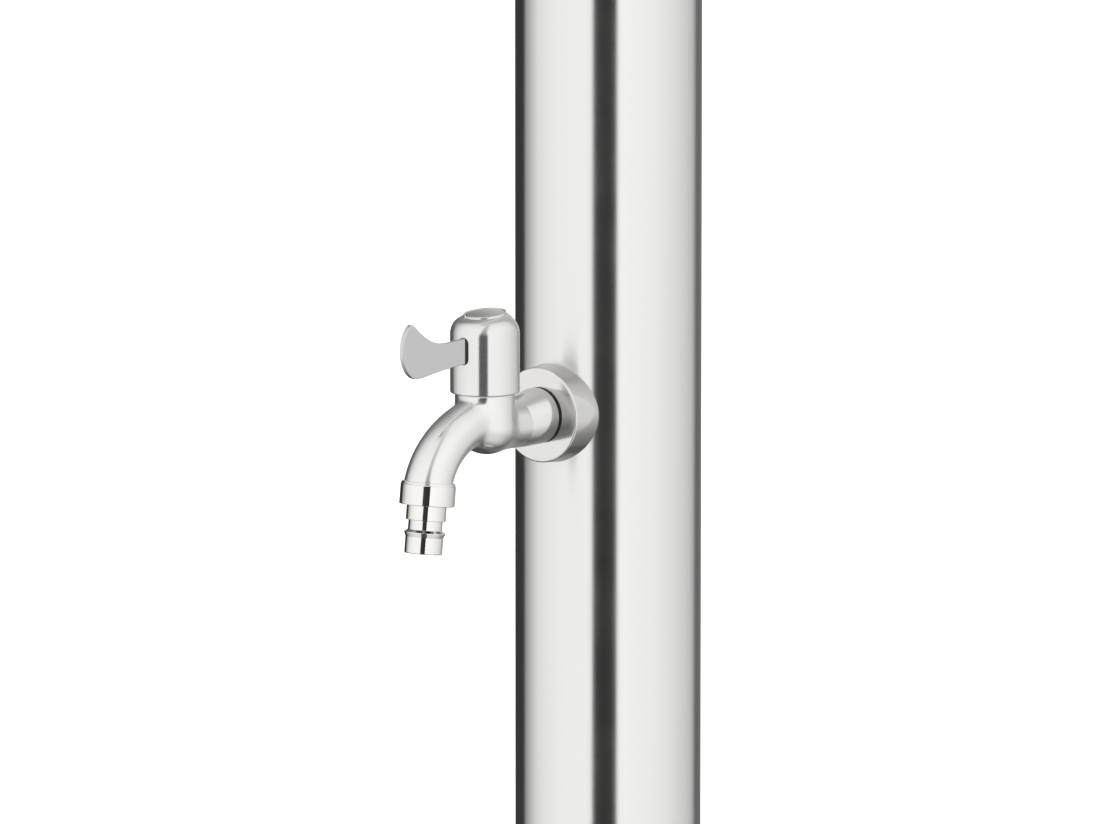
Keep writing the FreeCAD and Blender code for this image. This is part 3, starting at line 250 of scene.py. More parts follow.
M["plug"] = steel("steel_polished_plug", (0.66, 0.655, 0.645), 0.11, 0.02, (0.12, 30.0, 0.12), 0.012, turned=True, tint=0.012, veil=0.04)
M["tube"] = steel("steel_polished_tube", (0.655, 0.65, 0.64), 0.14, 0.02, (0.25, 0.25, 0.25), 0.015, tint=0.012)
M["plain_steel"] = steel("steel_machined", (0.52, 0.515, 0.505), 0.3, 0.05, (0.5, 0.5, 0.12), 0.05, stored=False, tint=0.04)
M["seam"] = plain("rubber_black", (0.006, 0.006, 0.006), 0.62, scale=1.4, bump=0.1, stored=False)
M["rubber"] = plain("rubber_black_matt", (0.012, 0.012, 0.013), 0.7, scale=0.8, bump=0.2, stored=False, tint=0.2)
M["brass"] = plain("brass_machined", (0.72, 0.53, 0.26), 0.28, metallic=1.0, scale=0.5, tint=0.08, bump=0.15, stored=False)
M["ceramic"] = plain("ceramic_white", (0.86, 0.85, 0.81), 0.18, scale=0.9, tint=0.02, bump=0.02, stored=False, coat=0.5)
M["acetal_grey"] = plain("acetal_grey", (0.17, 0.175, 0.18), 0.45, scale=0.8, stored=False)
M["acetal_white"] = plain("acetal_white", (0.82, 0.82, 0.80), 0.4, scale=0.8, tint=0.02, stored=False)
M["silicone"] = plain("silicone_grey", (0.28, 0.29, 0.30), 0.55, scale=1.2, tint=0.08, bump=0.1, stored=False)
M["silicone_mat"] = plain("silicone_grey_mat", (0.28, 0.29, 0.30), 0.55, scale=1.2, tint=0.08, bump=0.1)
M["gasket"] = plain("rubber_gasket", (0.018, 0.018, 0.019), 0.75, scale=0.4, tint=0.25, bump=0.3, stored=False)

M["nickel"] = plain("brass_nickel_plated", (0.66, 0.652, 0.63), 0.26, metallic=1.0, scale=0.5, tint=0.06, bump=0.12,
                    stored=False)

# every CAD node first gets the finish of its material slot
NODE_FINISH = {
    "rubber_black": "rubber", "steel_plain": "plain_steel", "brass": "brass", "ceramic": "ceramic",
    "plastic_grey": "acetal_grey", "plastic_white": "acetal_white", "silicone_grey": "silicone",
    "steel_brushed": "plain_steel", "steel_satin_cast": "plain_steel", "steel_satin_flat": "plain_steel",
    "steel_polished": "plain_steel",
}
slot_of = {s["node"]: s["material_slot"] for s in frame["record"]["subparts"]}
for nm, ob in nodes.items():
    ob.data.materials.clear()
    own = {"base_gasket": "gasket", "tap_cartridge": "nickel", "valve_cartridge": "nickel"}
    ob.data.materials.append(M[own.get(nm, NODE_FINISH[slot_of[nm]])])

# ---------------------------------------------------------------------------
# Mesh helpers. All profiles are in mm.
# ---------------------------------------------------------------------------
FRONT = Matrix(((1, 0, 0), (0, 0, -1), (0, 1, 0)))  # local Z to -Y, local Y to +Z


def place(origin, rot=None):
    m = (rot or Matrix.Identity(3)).to_4x4()
    m.translation = Vector(origin)
    return m


def finish_piece(name, verts, faces, normals, finish, body, replaces, mat4, loop_normals=None, local=None):
    """verts in local mm. normals per vertex, or loop_normals per face corner."""
    verts = np.asarray(verts, float)
    lp = verts if local is None else np.asarray(local, float)
    R = np.array(mat4.to_3x3())
    T = np.array(mat4.translation)
    world = verts @ R.T + T
    me = bpy.data.meshes.new(name)
    me.from_pydata((world * 0.001).tolist(), [], [list(map(int, f)) for f in faces])
    me.polygons.foreach_set("use_smooth", [True] * len(me.polygons))
    att = me.attributes.new("lp", "FLOAT_VECTOR", "POINT")
    att.data.foreach_set("vector", lp.astype(np.float32).ravel())
    me.validate(verbose=False)
    me.update()
    if loop_normals is not None:
        ln = np.asarray(loop_normals, float) @ R.T
        me.normals_split_custom_set([tuple(n) for n in ln])
    elif normals is not None:
        vn = np.asarray(normals, float) @ R.T
        me.normals_split_custom_set_from_vertices([tuple(n) for n in vn])
    me.materials.append(M[finish])
    ob = bpy.data.objects.new(name, me)
    scene.collection.objects.link(ob)
    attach(ob, body)
    if replaces:
        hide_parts(*replaces)
    return ob


def runs(points, closed, step=10.0):
    """Rounds the corners of a profile. Each point is (r, z) or (r, z, radius). Solid on the left of the path.
    Returns rings (r, z, normal before, normal after)."""
    pts = [np.array(p[:2], float) for p in points]
    rad = [p[2] if len(p) > 2 else 0.0 for p in points]
    n = len(pts)
    rings = []

    def nrm(d):
        d = d / np.linalg.norm(d)
        return np.array([d[1], -d[0]])

    for i in range(n):
        if not closed and i in (0, n - 1):
            d = pts[1] - pts[0] if i == 0 else pts[-1] - pts[-2]
            rings.append((pts[i][0], pts[i][1], nrm(d), nrm(d)))
            continue
        a, b, c = pts[i - 1], pts[i], pts[(i + 1) % n]
        d0, d1 = b - a, c - b
        l0, l1 = np.linalg.norm(d0), np.linalg.norm(d1)
        d0, d1 = d0 / l0, d1 / l1
        n0, n1 = nrm(d0), nrm(d1)
        cross = d0[0] * d1[1] - d0[1] * d1[0]
        dot = float(np.clip(np.dot(d0, d1), -1, 1))
        turn = math.atan2(cross, dot)
        r = rad[i]
        if r <= 0 or abs(turn) < 1e-4:
            rings.append((b[0], b[1], n0, n1))
            continue
        t = min(r * math.tan(abs(turn) / 2), 0.499 * l0, 0.499 * l1)
        r = t / math.tan(abs(turn) / 2)
        s = 1.0 if turn > 0 else -1.0
        start = b - d0 * t
        centre = start - s * n0 * r
        k = max(2, int(math.ceil(abs(math.degrees(turn)) / step)))
        for j in range(k + 1):
            ang = turn * j / k
            ca, sa = math.cos(ang), math.sin(ang)
            nn = np.array([n0[0] * ca - n0[1] * sa, n0[0] * sa + n0[1] * ca])
            p = centre + s * nn * r
            rings.append((max(p[0], 0.0), p[1], nn, nn))
    return rings


def lathe(name, points, finish, body, replaces, mat4=None, seg=128, closed=True, step=10.0):
    """Turned piece round local Z."""
    mat4 = mat4 or place((0, 0, 0))
    rings = runs(points, closed, step)
    if not closed:
        pass
    verts, faces, lnorm = [], [], []
    index = []
    ang = [2 * math.pi * i / seg for i in range(seg)]
    cs = [(math.cos(a), math.sin(a)) for a in ang]
    for r, z, _, _ in rings:
        if r < 1e-6:
            index.append(("p", len(verts)))
            verts.append((0.0, 0.0, z))
        else:
            index.append(("r", len(verts)))
            verts.extend((r * c, r * s, z) for c, s in cs)

    def n3(n2, j):
        c, s = cs[j % seg]
        return (n2[0] * c, n2[0] * s, n2[1])

    count = len(rings)
    pairs = [(i, i + 1) for i in range(count - 1)]
    if closed:
        pairs.append((count - 1, 0))
    for i, k in pairs:
        ki, a = index[i]
        kk, b = index[k]
        na, nb = rings[i][3], rings[k][2]
        if ki == "p" and kk == "p":
            continue
        for j in range(seg):
            j2 = (j + 1) % seg
            if ki == "r" and kk == "r":
                faces.append((a + j, a + j2, b + j2, b + j))
                lnorm += [n3(na, j), n3(na, j2), n3(nb, j2), n3(nb, j)]
            elif ki == "p":
                faces.append((a, b + j2, b + j))
                lnorm += [n3(na, j), n3(nb, j2), n3(nb, j)]
            else:
                faces.append((a + j, a + j2, b))
                lnorm += [n3(na, j), n3(na, j2), n3(nb, j)]
    return finish_piece(name, verts, faces, None, finish, body, replaces, mat4, loop_normals=lnorm)


# ---------------------------------------------------------------------------
# Smooth solids from distance fields (castings, caps)
# ---------------------------------------------------------------------------
def smin(a, b, k):
    h = np.clip(0.5 + 0.5 * (b - a) / k, 0.0, 1.0)
    return b * (1 - h) + a * h - k * h * (1 - h)


def smax(a, b, k):
    return -smin(-a, -b, k)


def surface(field, lo, hi, cell, project=3):
    """Closed quad mesh of field = 0 (negative inside), from a dual grid, drawn onto the surface."""
    lo = np.array(lo, float)
    n = np.ceil((np.array(hi, float) - lo) / cell).astype(int) + 1
    ax = [lo[i] + cell * np.arange(n[i]) for i in range(3)]
    X, Y, Z = np.meshgrid(*ax, indexing="ij")
    F = field(X, Y, Z)
    inside = F < 0
    s = inside.astype(np.int8)
    cells = np.zeros((n[0] - 1, n[1] - 1, n[2] - 1), np.int8)
    for dx in (0, 1):
        for dy in (0, 1):
            for dz in (0, 1):
                cells += s[dx:n[0] - 1 + dx, dy:n[1] - 1 + dy, dz:n[2] - 1 + dz]
    active = (cells > 0) & (cells < 8)
    idx = -np.ones(active.shape, np.int64)
    where = np.argwhere(active)
    idx[active] = np.arange(len(where))
    acc = np.zeros((len(where), 3))
    cnt = np.zeros(len(where))
    corner = [(a, b, c) for a in (0, 1) for b in (0, 1) for c in (0, 1)]
    for a in corner:
        for axis in range(3):
            if a[axis]:
                continue
            b = list(a)
            b[axis] = 1
            ia = where + np.array(a)
            ib = where + np.array(b)
            fa = F[ia[:, 0], ia[:, 1], ia[:, 2]]
            fb = F[ib[:, 0], ib[:, 1], ib[:, 2]]
            m = (fa < 0) != (fb < 0)
            t = np.where(m, fa / np.where(m, fa - fb, 1.0), 0.0)
            p = ia.astype(float)
            p[:, axis] += t
            acc[m] += p[m]
            cnt[m] += 1
    verts = lo + cell * acc / cnt[:, None]
    quads = []
    for axis in range(3):
        u, v = [(1, 2), (2, 0), (0, 1)][axis]
        sa = [slice(None)] * 3
        sb = [slice(None)] * 3
        sa[axis] = slice(0, n[axis] - 1)
        sb[axis] = slice(1, n[axis])
        A, B = inside[tuple(sa)], inside[tuple(sb)]
        e = np.argwhere(A != B)
        ok = (e[:, u] > 0) & (e[:, v] > 0) & (e[:, u] < n[u] - 1) & (e[:, v] < n[v] - 1)
        e = e[ok]
        flip = ~A[e[:, 0], e[:, 1], e[:, 2]]
        q = []
        for du, dv in ((1, 1), (0, 1), (0, 0), (1, 0)):
            c = e.copy()
            c[:, u] -= du
            c[:, v] -= dv
            q.append(idx[c[:, 0], c[:, 1], c[:, 2]])
        q = np.stack(q, 1)
        q[flip] = q[flip][:, ::-1]
        quads.append(q)
    quads = np.vstack(quads)
    h = cell * 0.05

    def grad(p):
        g = np.stack([
            field(p[:, 0] + h, p[:, 1], p[:, 2]) - field(p[:, 0] - h, p[:, 1], p[:, 2]),
            field(p[:, 0], p[:, 1] + h, p[:, 2]) - field(p[:, 0], p[:, 1] - h, p[:, 2]),
            field(p[:, 0], p[:, 1], p[:, 2] + h) - field(p[:, 0], p[:, 1], p[:, 2] - h)], 1) / (2 * h)
        return g

    for _ in range(project):
        g = grad(verts)
        f = field(verts[:, 0], verts[:, 1], verts[:, 2])
        gg = np.maximum((g * g).sum(1), 1e-6)
        move = -(f / gg)[:, None] * g
        length = np.linalg.norm(move, axis=1)
        move *= np.minimum(1.0, 0.5 * cell / np.maximum(length, 1e-9))[:, None]
        verts = verts + move
    g = grad(verts)
    normals = g / np.maximum(np.linalg.norm(g, axis=1), 1e-9)[:, None]
    return verts, quads, normals


SPOUT = np.array([(86.81, 3.19), (113.54, -2.5), (117.35, -18.48), (117.46, -19.6)])
SPOUT_TILT = math.radians(7.2)


def spout_curve(n=140):
    t = np.linspace(0, 1, n)[:, None]
    P = (1 - t) ** 3 * SPOUT[0] + 3 * (1 - t) ** 2 * t * SPOUT[1] + 3 * (1 - t) * t * t * SPOUT[2] + t ** 3 * SPOUT[3]
    return P, t[:, 0]


def tube_field(D, H, Xc, pts, radii):
    """Distance to a round tube along a plane curve in (D, H), radius along the curve."""
    best = np.full(D.shape, 1e9)
    for i in range(len(pts) - 1):
        a, b = pts[i], pts[i + 1]
        ab = b - a
        l2 = float(ab @ ab)
        t = np.clip(((D - a[0]) * ab[0] + (H - a[1]) * ab[1]) / l2, 0, 1)
        q = np.sqrt((D - a[0] - t * ab[0]) ** 2 + (H - a[1] - t * ab[1]) ** 2 + Xc ** 2)
        best = np.minimum(best, q - (radii[i] + (radii[i + 1] - radii[i]) * t))
    return best


def soft_min(a, b, k):
    return np.minimum(a, b) - k * np.log1p(np.exp(-np.abs(a - b) / k))


def body_field(X, Y, Z):
    D, H = -Y, Z
    rad = np.sqrt(X * X + H * H)
    # arm: a turned end, then a taper cut from the top and the sides
    end = rad - 11.46
    t = np.clip((D - 48.15) / 13.85, 0, 1)
    r2 = 12.12 + (9.8 - 12.12) * t
    c2 = -0.66 + (-1.6 + 0.66) * t
    t2 = np.clip((D - 62.0) / 25.0, 0, 1)
    c2 = c2 + 1.0 * t2
    cone = (np.sqrt(X * X + (H - c2) ** 2 + np.maximum(D - 79.0, 0.0) ** 2) - r2) * 0.985
    arm = smax(end, cone, 0.25)
    arm = smax(arm, 47.2 - D, 0.4)
    # chamber with a rounded underside
    q = np.sqrt(X * X + (D - BODY_D) ** 2)
    r_ch = 12.08
    hemi = (np.sqrt(q * q + (1.1 * np.minimum(H - 0.4, 0.0)) ** 2) - r_ch) * 0.97
    cham = smax(hemi, H - 13.2, 0.5)
    # spout
    P, t = spout_curve(40)
    near = (D > 70) & (H < 22)
    spout = np.full(D.shape, 30.0)
    if near.any():
        spout[near] = tube_field(D[near], H[near], X[near], P, 9.05 + 0.87 * t)
    # the spout ends square to the outlet's axis
    nd, nh = math.sin(SPOUT_TILT), -math.cos(SPOUT_TILT)
    past = (D - 117.46) * nd + (H + 19.6) * nh
    spout = smax(spout, past, 0.25)
    low = np.clip((3.0 - H) / 12.0, 0, 1)
    low = low * low * (3 - 2 * low)
    body = soft_min(arm, cham, 0.8 + 1.1 * low)
    body = soft_min(body, spout, 1.0 + 0.8 * low)
    # seat of the cap's neck stays crisp
    body = smax(body, H - 13.2, 0.4)
    # threaded tail and the outlet's spigot
    tail = np.maximum(rad - 10.48, np.maximum(14.0 - D, D - 50.0))
    body = np.minimum(body, tail)
    ux, uh = D - 117.46, H + 19.6
    along = ux * nd + uh * nh
    side = np.sqrt(np.maximum((ux * uh * 0), (ux - along * nd) ** 2 + (uh - along * nh) ** 2) + X * X)
    spig = np.maximum(side - 8.8, np.maximum(-3.0 - along, along - 5.0))
    body = np.minimum(body, spig)
    # bores: headwork seat above, inlet from behind, outlet in front
    bore = np.maximum(q - 9.5, -2.0 - H)
    inlet = np.maximum(np.sqrt(X * X + (H + 1.2) ** 2) - 6.5, D - 68.0)
    way = np.maximum(np.sqrt(X * X + (H + 5.0) ** 2) - 2.8, np.maximum(60.0 - D, D - 81.0))
    inner = np.full(D.shape, 30.0)
    if near.any():
        inner[near] = tube_field(D[near], H[near], X[near], P[2:], np.full(len(P) - 2, 6.6))
    mouth = np.maximum(side - 6.3, np.maximum(-3.0 - along, along - 12.0))
    hollow = np.minimum(np.minimum(bore, inlet), np.minimum(way, np.minimum(inner, mouth)))
    return np.maximum(body, -hollow)


v, q, n = surface(body_field, (-13.5, -131.0, -27.5), (13.5, -12.5, 14.5), 0.42)
tap_at = place((0, 0, TAP))
finish_piece("foot_tap_body", v, q, n, "cast", "root", ["tap_body"], tap_at)


# ---- cap: turned cup with a wide shoulder, its top sloping to the lever ----
SLOPE = 0.126
NOTCH = math.radians(245.0)
LEVER_H = 31.4


def cap_field(X, Y, Z):
    r = np.sqrt(X * X + Y * Y)
    w = np.clip((13.2 - r) / 5.2, 0, 1)
    w = w * w * (3 - 2 * w)
    Zs = Z - SLOPE * Y * w
    # shoulder of radius 8 between the side and the top
    a = r - 14.03
    b = Zs - 45.25
    ux, uz = np.maximum(r - 6.03, 0), np.maximum(Zs - 37.25, 0)
    outer = np.maximum(np.maximum(a, b), np.where((r > 6.03) & (Zs > 37.25), np.sqrt(ux * ux + uz * uz) - 8.0, -30.0))
    # rounded lower edge
    outer = smax(outer, 13.26 - Z, 0.9)
    # pit of the pry notch beside the rim; its darkness is painted shade, given to its faces in handle()
    px, py = 8.35 * math.cos(NOTCH), 8.35 * math.sin(NOTCH)
    pit = np.maximum(np.sqrt((X - px) ** 2 + (Y - py) ** 2) - 0.8, 43.3 - Zs)
    outer = np.maximum(outer, -pit)
    # plug seat and screw room
    seat = np.maximum(r - 7.98, 43.7 - Zs)
    room = np.maximum(r - 5.95, 41.9 - Zs)
    low = np.maximum(r - 4.6, 39.0 - Z)
    screw = r - 2.2
    cup = np.maximum(r - 11.6, Z - 37.0)
    slot_v = np.maximum(np.abs(Z - LEVER_H) - (5.45 - 2.4), 0)
    slot = np.sqrt(X * X + slot_v ** 2) - 2.4
    slot = np.maximum(slot, Y + 4.5)
    hollow = np.minimum(np.minimum(seat, room), np.minimum(np.minimum(low, screw), cup))
    out = smax(outer, -hollow, 0.12)
    return smax(out, -slot, 0.22)


def rim_field(X, Y, Z):
    """Raised rim round the plug, open at the pry notch. Z runs along the sloping top's normal."""
    r = np.sqrt(X * X + Y * Y)
    ring = np.sqrt(np.maximum(np.abs(r - 8.34) - 0.26, 0) ** 2 + np.maximum(np.abs(Z + 0.35) - 0.62, 0) ** 2) - 0.14
    c, s_ = math.cos(NOTCH), math.sin(NOTCH)
    across = np.abs(-X * s_ + Y * c) - 0.75
    notch = np.where(X * c + Y * s_ > 0, np.maximum(across, -0.55 - Z), 9.0)
    return smax(ring, -notch, 0.12)


def lever_outline():
    """Near face of the fishtail lever: u = distance from the spindle, height from the root's middle line."""
    top = [(5.0, 5.25), (14.0, 5.2), (19.4, 4.95), (23.8, 4.7), (27.6, 4.85), (31.0, 5.3), (34.2, 6.2), (37.4, 7.6),
           (40.4, 9.35), (43.0, 11.2), (45.0, 12.85), (46.2, 13.8), (47.3, 14.35), (48.5, 14.3)]
    tip = [(49.8, 13.4), (51.2, 11.8), (52.4, 9.7), (53.1, 7.4), (53.4, 4.6), (53.35, 1.8), (52.75, -0.6),
           (51.7, -2.7), (50.2, -4.8), (48.4, -6.4), (46.6, -7.3), (44.6, -7.7), (42.3, -7.7)]
    bottom = [(39.4, -7.45), (36.6, -7.1), (32.8, -6.6), (29.0, -6.15), (25.0, -5.8), (21.0, -5.5), (17.0, -5.25),
              (14.0, -5.12), (5.0, -4.75)]
    return top + tip + bottom


def smooth_closed(pts, keep, per=3):
    """Catmull-Rom through the outline's points; the indexes in keep stay sharp."""
    P = [np.array(p, float) for p in pts]
    n = len(P)
    out = []
    for i in range(n):
        p1, p2 = P[i], P[(i + 1) % n]
        p0 = P[i - 1] if i not in keep else p1 - (p2 - p1)
        p3 = P[(i + 2) % n] if (i + 1) % n not in keep else p2 + (p2 - p1)
        for k in range(per):
            t = k / per
            a = 0.5 * (2 * p1 + (p2 - p0) * t + (2 * p0 - 5 * p1 + 4 * p2 - p3) * t * t + (3 * p1 - p0 - 3 * p2 + p3) * t ** 3)
            out.append(a)
    return out


def blade(name, factor, mat4, body, replaces):
    pts = smooth_closed(lever_outline(), {0, len(lever_outline()) - 1}, 4)
    pts = [p for p in pts]
    half = 1.05
    bev = 0.32
    P = np.array(pts)
    # outline runs top -> tip -> bottom: make it counter-clockwise in (u, h) for the inset
    area = 0.5 * np.sum(P[:, 0] * np.roll(P[:, 1], -1) - np.roll(P[:, 0], -1) * P[:, 1])
    if area < 0:
        P = P[::-1]
    n = len(P)
    d = np.roll(P, -1, 0) - np.roll(P, 1, 0)
    d /= np.linalg.norm(d, axis=1)[:, None]
    nout = np.stack([d[:, 1], -d[:, 0]], 1)
    # the bevel is wider round the tip
    wide = np.clip((P[:, 0] - 40.0) / 8.0, 0, 1)
    amount = bev * (1 + 0.5 * wide)
    levels = []
    for ang in (0, 22.5, 45, 67.5, 90):
        a = math.radians(ang)
        levels.append((1 - math.cos(a), 1 - math.sin(a), ang))
    rings = []
    # +x side from flat face edge to the side wall, then down to the -x side
    for k, (ci, si, ang) in enumerate(reversed(levels)):
        a = math.radians(ang)
        inset = amount * (1 - math.cos(a))
        x = half - amount * (1 - math.sin(a))
        nor = np.concatenate([np.full((n, 1), math.sin(a)), nout * math.cos(a)], 1)
        rings.append((x, P - nout * inset[:, None], nor))
    for k, (ci, si, ang) in enumerate(levels):
        a = math.radians(ang)
        inset = amount * (1 - math.cos(a))
        x = -(half - amount * (1 - math.sin(a)))
        nor = np.concatenate([np.full((n, 1), -math.sin(a)), nout * math.cos(a)], 1)
        rings.append((x, P - nout * inset[:, None], nor))
    bm = bmesh.new()
    rows = []
    for x, pp, nor in rings:
        xs = x if isinstance(x, np.ndarray) else np.full(n, x)
        rows.append([bm.verts.new((xs[i] * factor, -pp[i, 0] * factor, (pp[i, 1] + LEVER_H) * factor)) for i in range(n)])
    for a, b in zip(rows[:-1], rows[1:]):
        for i in range(n):
            j = (i + 1) % n
            bm.faces.new((a[i], b[i], b[j], a[j]))
    f1 = bm.faces.new(rows[0])
    f2 = bm.faces.new(list(reversed(rows[-1])))
    bmesh.ops.triangulate(bm, faces=[f1, f2])
    bmesh.ops.recalc_face_normals(bm, faces=bm.faces)
    vs = np.array([v.co for v in bm.verts])
    nrm = []
    for x, pp, nor in rings:
        nrm += [(nor[i, 0], -nor[i, 1], nor[i, 2]) for i in range(n)]
    fs = [[v.index for v in f.verts] for f in bm.faces]
    bm.verts.index_update()
    fs = [[v.index for v in f.verts] for f in bm.faces]
    bm.free()
    return finish_piece(name, vs, fs, np.array(nrm), "lever", body, replaces, mat4, local=vs / factor)


def handle(prefix, factor, mat4, body):
    cell = 0.3
    v, q, n = surface(cap_field, (-15.2, -15.2, 12.3), (15.2, 15.2, 47.6), cell)
    ob = finish_piece(prefix + "_cap", v * factor, q, n, "cap", body,
                      [("tap" if factor == 1 else "valve") + "_handle_cap"], mat4, local=v)
    # painted shade: the inside, the slot's walls and the notch pit get a near-black material standing in for their
    # shadow
    mid = v[np.asarray(q)].mean(1)
    rr = np.hypot(mid[:, 0], mid[:, 1])
    fn = np.asarray(n)[np.asarray(q)].mean(1)
    away = (fn[:, :2] * mid[:, :2]).sum(1) / np.maximum(rr, 1e-6)
    slot_d = np.hypot(mid[:, 0], np.maximum(np.abs(mid[:, 2] - LEVER_H) - 3.05, 0)) - 2.4
    raw = ((rr < 12.2) & (mid[:, 2] < 41.5) & (mid[:, 2] > 13.6)) | ((mid[:, 1] < -4.0) & (slot_d < 0.06) & (away < 0.45) & (mid[:, 2] < 38))
    # painted shade on the notch pit's faces too
    raw |= (mid[:, 2] > 41.0) & (np.hypot(mid[:, 0] - 8.35 * math.cos(NOTCH), mid[:, 1] - 8.35 * math.sin(NOTCH)) < 0.66)
    ob.data.materials.append(M["raw"])
    ob.data.polygons.foreach_set("material_index", raw.astype(np.int32))
    lever = blade(prefix + "_blade", factor, mat4, body, [("tap" if factor == 1 else "valve") + "_lever"])
    # plug, square to the sloping top
    ang = math.atan(SLOPE)
    tilt = Matrix.Rotation(ang, 4, "X")
    tilt.translation = Vector((0, 0, 45.25 * factor))
    f = factor
    v, q, n = surface(rim_field, (-8.9, -8.9, -1.3), (8.9, 8.9, 0.6), 0.14)
    rim = finish_piece(prefix + "_rim", v * f, q, n, "rim", body, [], mat4 @ tilt, local=v)
    dome = [(7.3 * math.sin(math.radians(a)) / math.sin(math.radians(8.0)) * f,
             (0.35 + 7.3 / math.sin(math.radians(8.0)) * (math.cos(math.radians(a)) - math.cos(math.radians(8.0)))) * f)
            for a in (8.0, 7.0, 6.0, 5.0, 4.0, 3.0, 2.0, 1.0, 0.0)]
    plug = lathe(prefix + "_plug", [(0, -1.5 * f), (7.85 * f, -1.5 * f, 0.1), (7.85 * f, 0.0, 0.25 * f)] + dome,
                 "plug", body, [("tap" if factor == 1 else "valve") + "_handle_plug"], mat4 @ tilt, seg=96, closed=False)
    return [ob, lever, rim, plug]


# the photo's column is clean beside the tap, so its handle and nipple aren't mirrored in it
unmirrored = handle("foot_tap_handle", 1.0, place((0, -BODY_D, TAP)), "foot_tap_handle")
handle("shower_valve_handle", 1.25, place((0, -40.0, VALVE), FRONT), "shower_valve_handle")

# ---- hose nipple ----
out_dir = Vector((0, -math.sin(SPOUT_TILT), -math.cos(SPOUT_TILT)))
ez = out_dir
ex = Vector((1, 0, 0))
ey = ez.cross(ex)
NOZZLE = Matrix((ex, ey, ez)).transposed()
nozzle = place((0, -117.46, TAP - 19.6), NOZZLE)
nipple = lathe("hose_nipple_turned", [
    (8.9, 0.0, 0.1), (9.6, -0.9, 0.3), (10.75, -0.9, 0.3), (10.9, 0.0, 0.1), (11.15, 0.35, 0.15), (11.15, 8.4, 0.35), (8.05, 8.4, 0.12), (8.05, 14.45, 0.25), (6.9, 14.45, 0.12),
    (6.9, 18.3, 0.12), (8.3, 19.35, 0.12), (8.3, 19.6, 0.2), (7.65, 21.2, 0.3), (7.65, 27.9, 0.55), (4.5, 27.9, 0.3), (4.5, 6.6), (8.9, 6.6)],
      "polished", "root", ["hose_nipple"], nozzle, seg=160)

inner = [nodes[nm] for nm in frame["record"]["behaviour"]["bodies"]["foot_tap_handle"] + [
    "tap_cartridge", "tap_fixed_disc", "tap_seat_seal", "hose_nipple_washer"]]
for ob in unmirrored + [nipple] + inner:
    ob.visible_glossy = False


# ---- column ----
def column_tube():
    ro, ri, z0, z1 = 38.05, 36.05, 12.0, 2150.0
    seg = 256
    rows = [z0, z0 + 0.3, 60.0, 300.0, 470.0, 530.0, 800.0, 1070.0, 1130.0, 1500.0, 1800.0, 2020.0, 2080.0, z1 - 0.3, z1]
    bm = bmesh.new()

    def ringv(r, z):
        return [bm.verts.new((r * math.cos(2 * math.pi * i / seg), r * math.sin(2 * math.pi * i / seg), z)) for i in range(seg)]

    loops = [ringv(ro - (0.3 if i in (0, len(rows) - 1) else 0), z) for i, z in enumerate(rows)]
    loops += [ringv(ri, z) for z in reversed(rows)]
    k = len(loops)
    for a in range(k):
        A, B = loops[a], loops[(a + 1) % k]
        for i in range(seg):
            j = (i + 1) % seg
            bm.faces.new((A[i], A[j], B[j], B[i]))
    bmesh.ops.recalc_face_normals(bm, faces=bm.faces)
    me = bpy.data.meshes.new("column_brushed")
    bm.to_mesh(me)
    bm.free()
    ob = bpy.data.objects.new("column_brushed", me)
    scene.collection.objects.link(ob)
    for z, r in ((TAP, 11.2), (VALVE, 13.6), (ARM, 11.3)):
        cm = bpy.data.meshes.new("cutter")
        bb = bmesh.new()
        bmesh.ops.create_cone(bb, cap_ends=True, segments=64, radius1=r, radius2=r, depth=40.0,
                              matrix=Matrix.Translation((0, -37.0, z)) @ Matrix.Rotation(math.pi / 2, 4, "X"))
        bb.to_mesh(cm)
        bb.free()
        co = bpy.data.objects.new("cutter", cm)
        scene.collection.objects.link(co)
        md = ob.modifiers.new("hole", "BOOLEAN")
        md.operation = "DIFFERENCE"
        md.solver = "EXACT"
        md.object = co
        dg = bpy.context.evaluated_depsgraph_get()
        new = bpy.data.meshes.new_from_object(ob.evaluated_get(dg))
        ob.modifiers.clear()
        ob.data = new
        bpy.data.objects.remove(co)
    me = ob.data
    vs = np.array([v.co for v in me.vertices])
    faces = [list(p.vertices) for p in me.polygons]
    ln = []
    for p in me.polygons:
        c = np.array(p.center)
        fn = np.array(p.normal)
        rad = np.array([c[0], c[1], 0.0])
        rad /= np.linalg.norm(rad)
        side = float(fn @ rad)
        for vi in p.vertices:
            x = vs[vi]
            rr = np.array([x[0], x[1], 0.0])
            rr /= np.linalg.norm(rr)
            if abs(fn[2]) < 0.2 and abs(side) > 0.93:
                ln.append(tuple(rr if side > 0 else -rr))
            else:
                ln.append(tuple(fn))
    bpy.data.objects.remove(ob)
    return finish_piece("column_brushed_tube", vs, faces, None, "column", "root", ["column_tube"], place((0, 0, 0)), loop_normals=ln)


column_tube()

lathe("column_top_cap", [
    (0, 2150.0), (31.6, 2150.0), (31.6, 2135.0), (35.0, 2135.0, 0.6), (35.8, 2136.0), (35.8, 2141.0, 0.2), (33.6, 2141.0),
    (33.6, 2144.0), (35.8, 2144.0, 0.2), (35.8, 2150.0), (37.85, 2150.05, 0.2), (38.05, 2150.3, 0.2), (38.05, 2153.0, 1.1), (20.0, 2153.45, 40.0), (0, 2153.6)],
      "spun", "root", ["top_cap"], seg=192, closed=False)

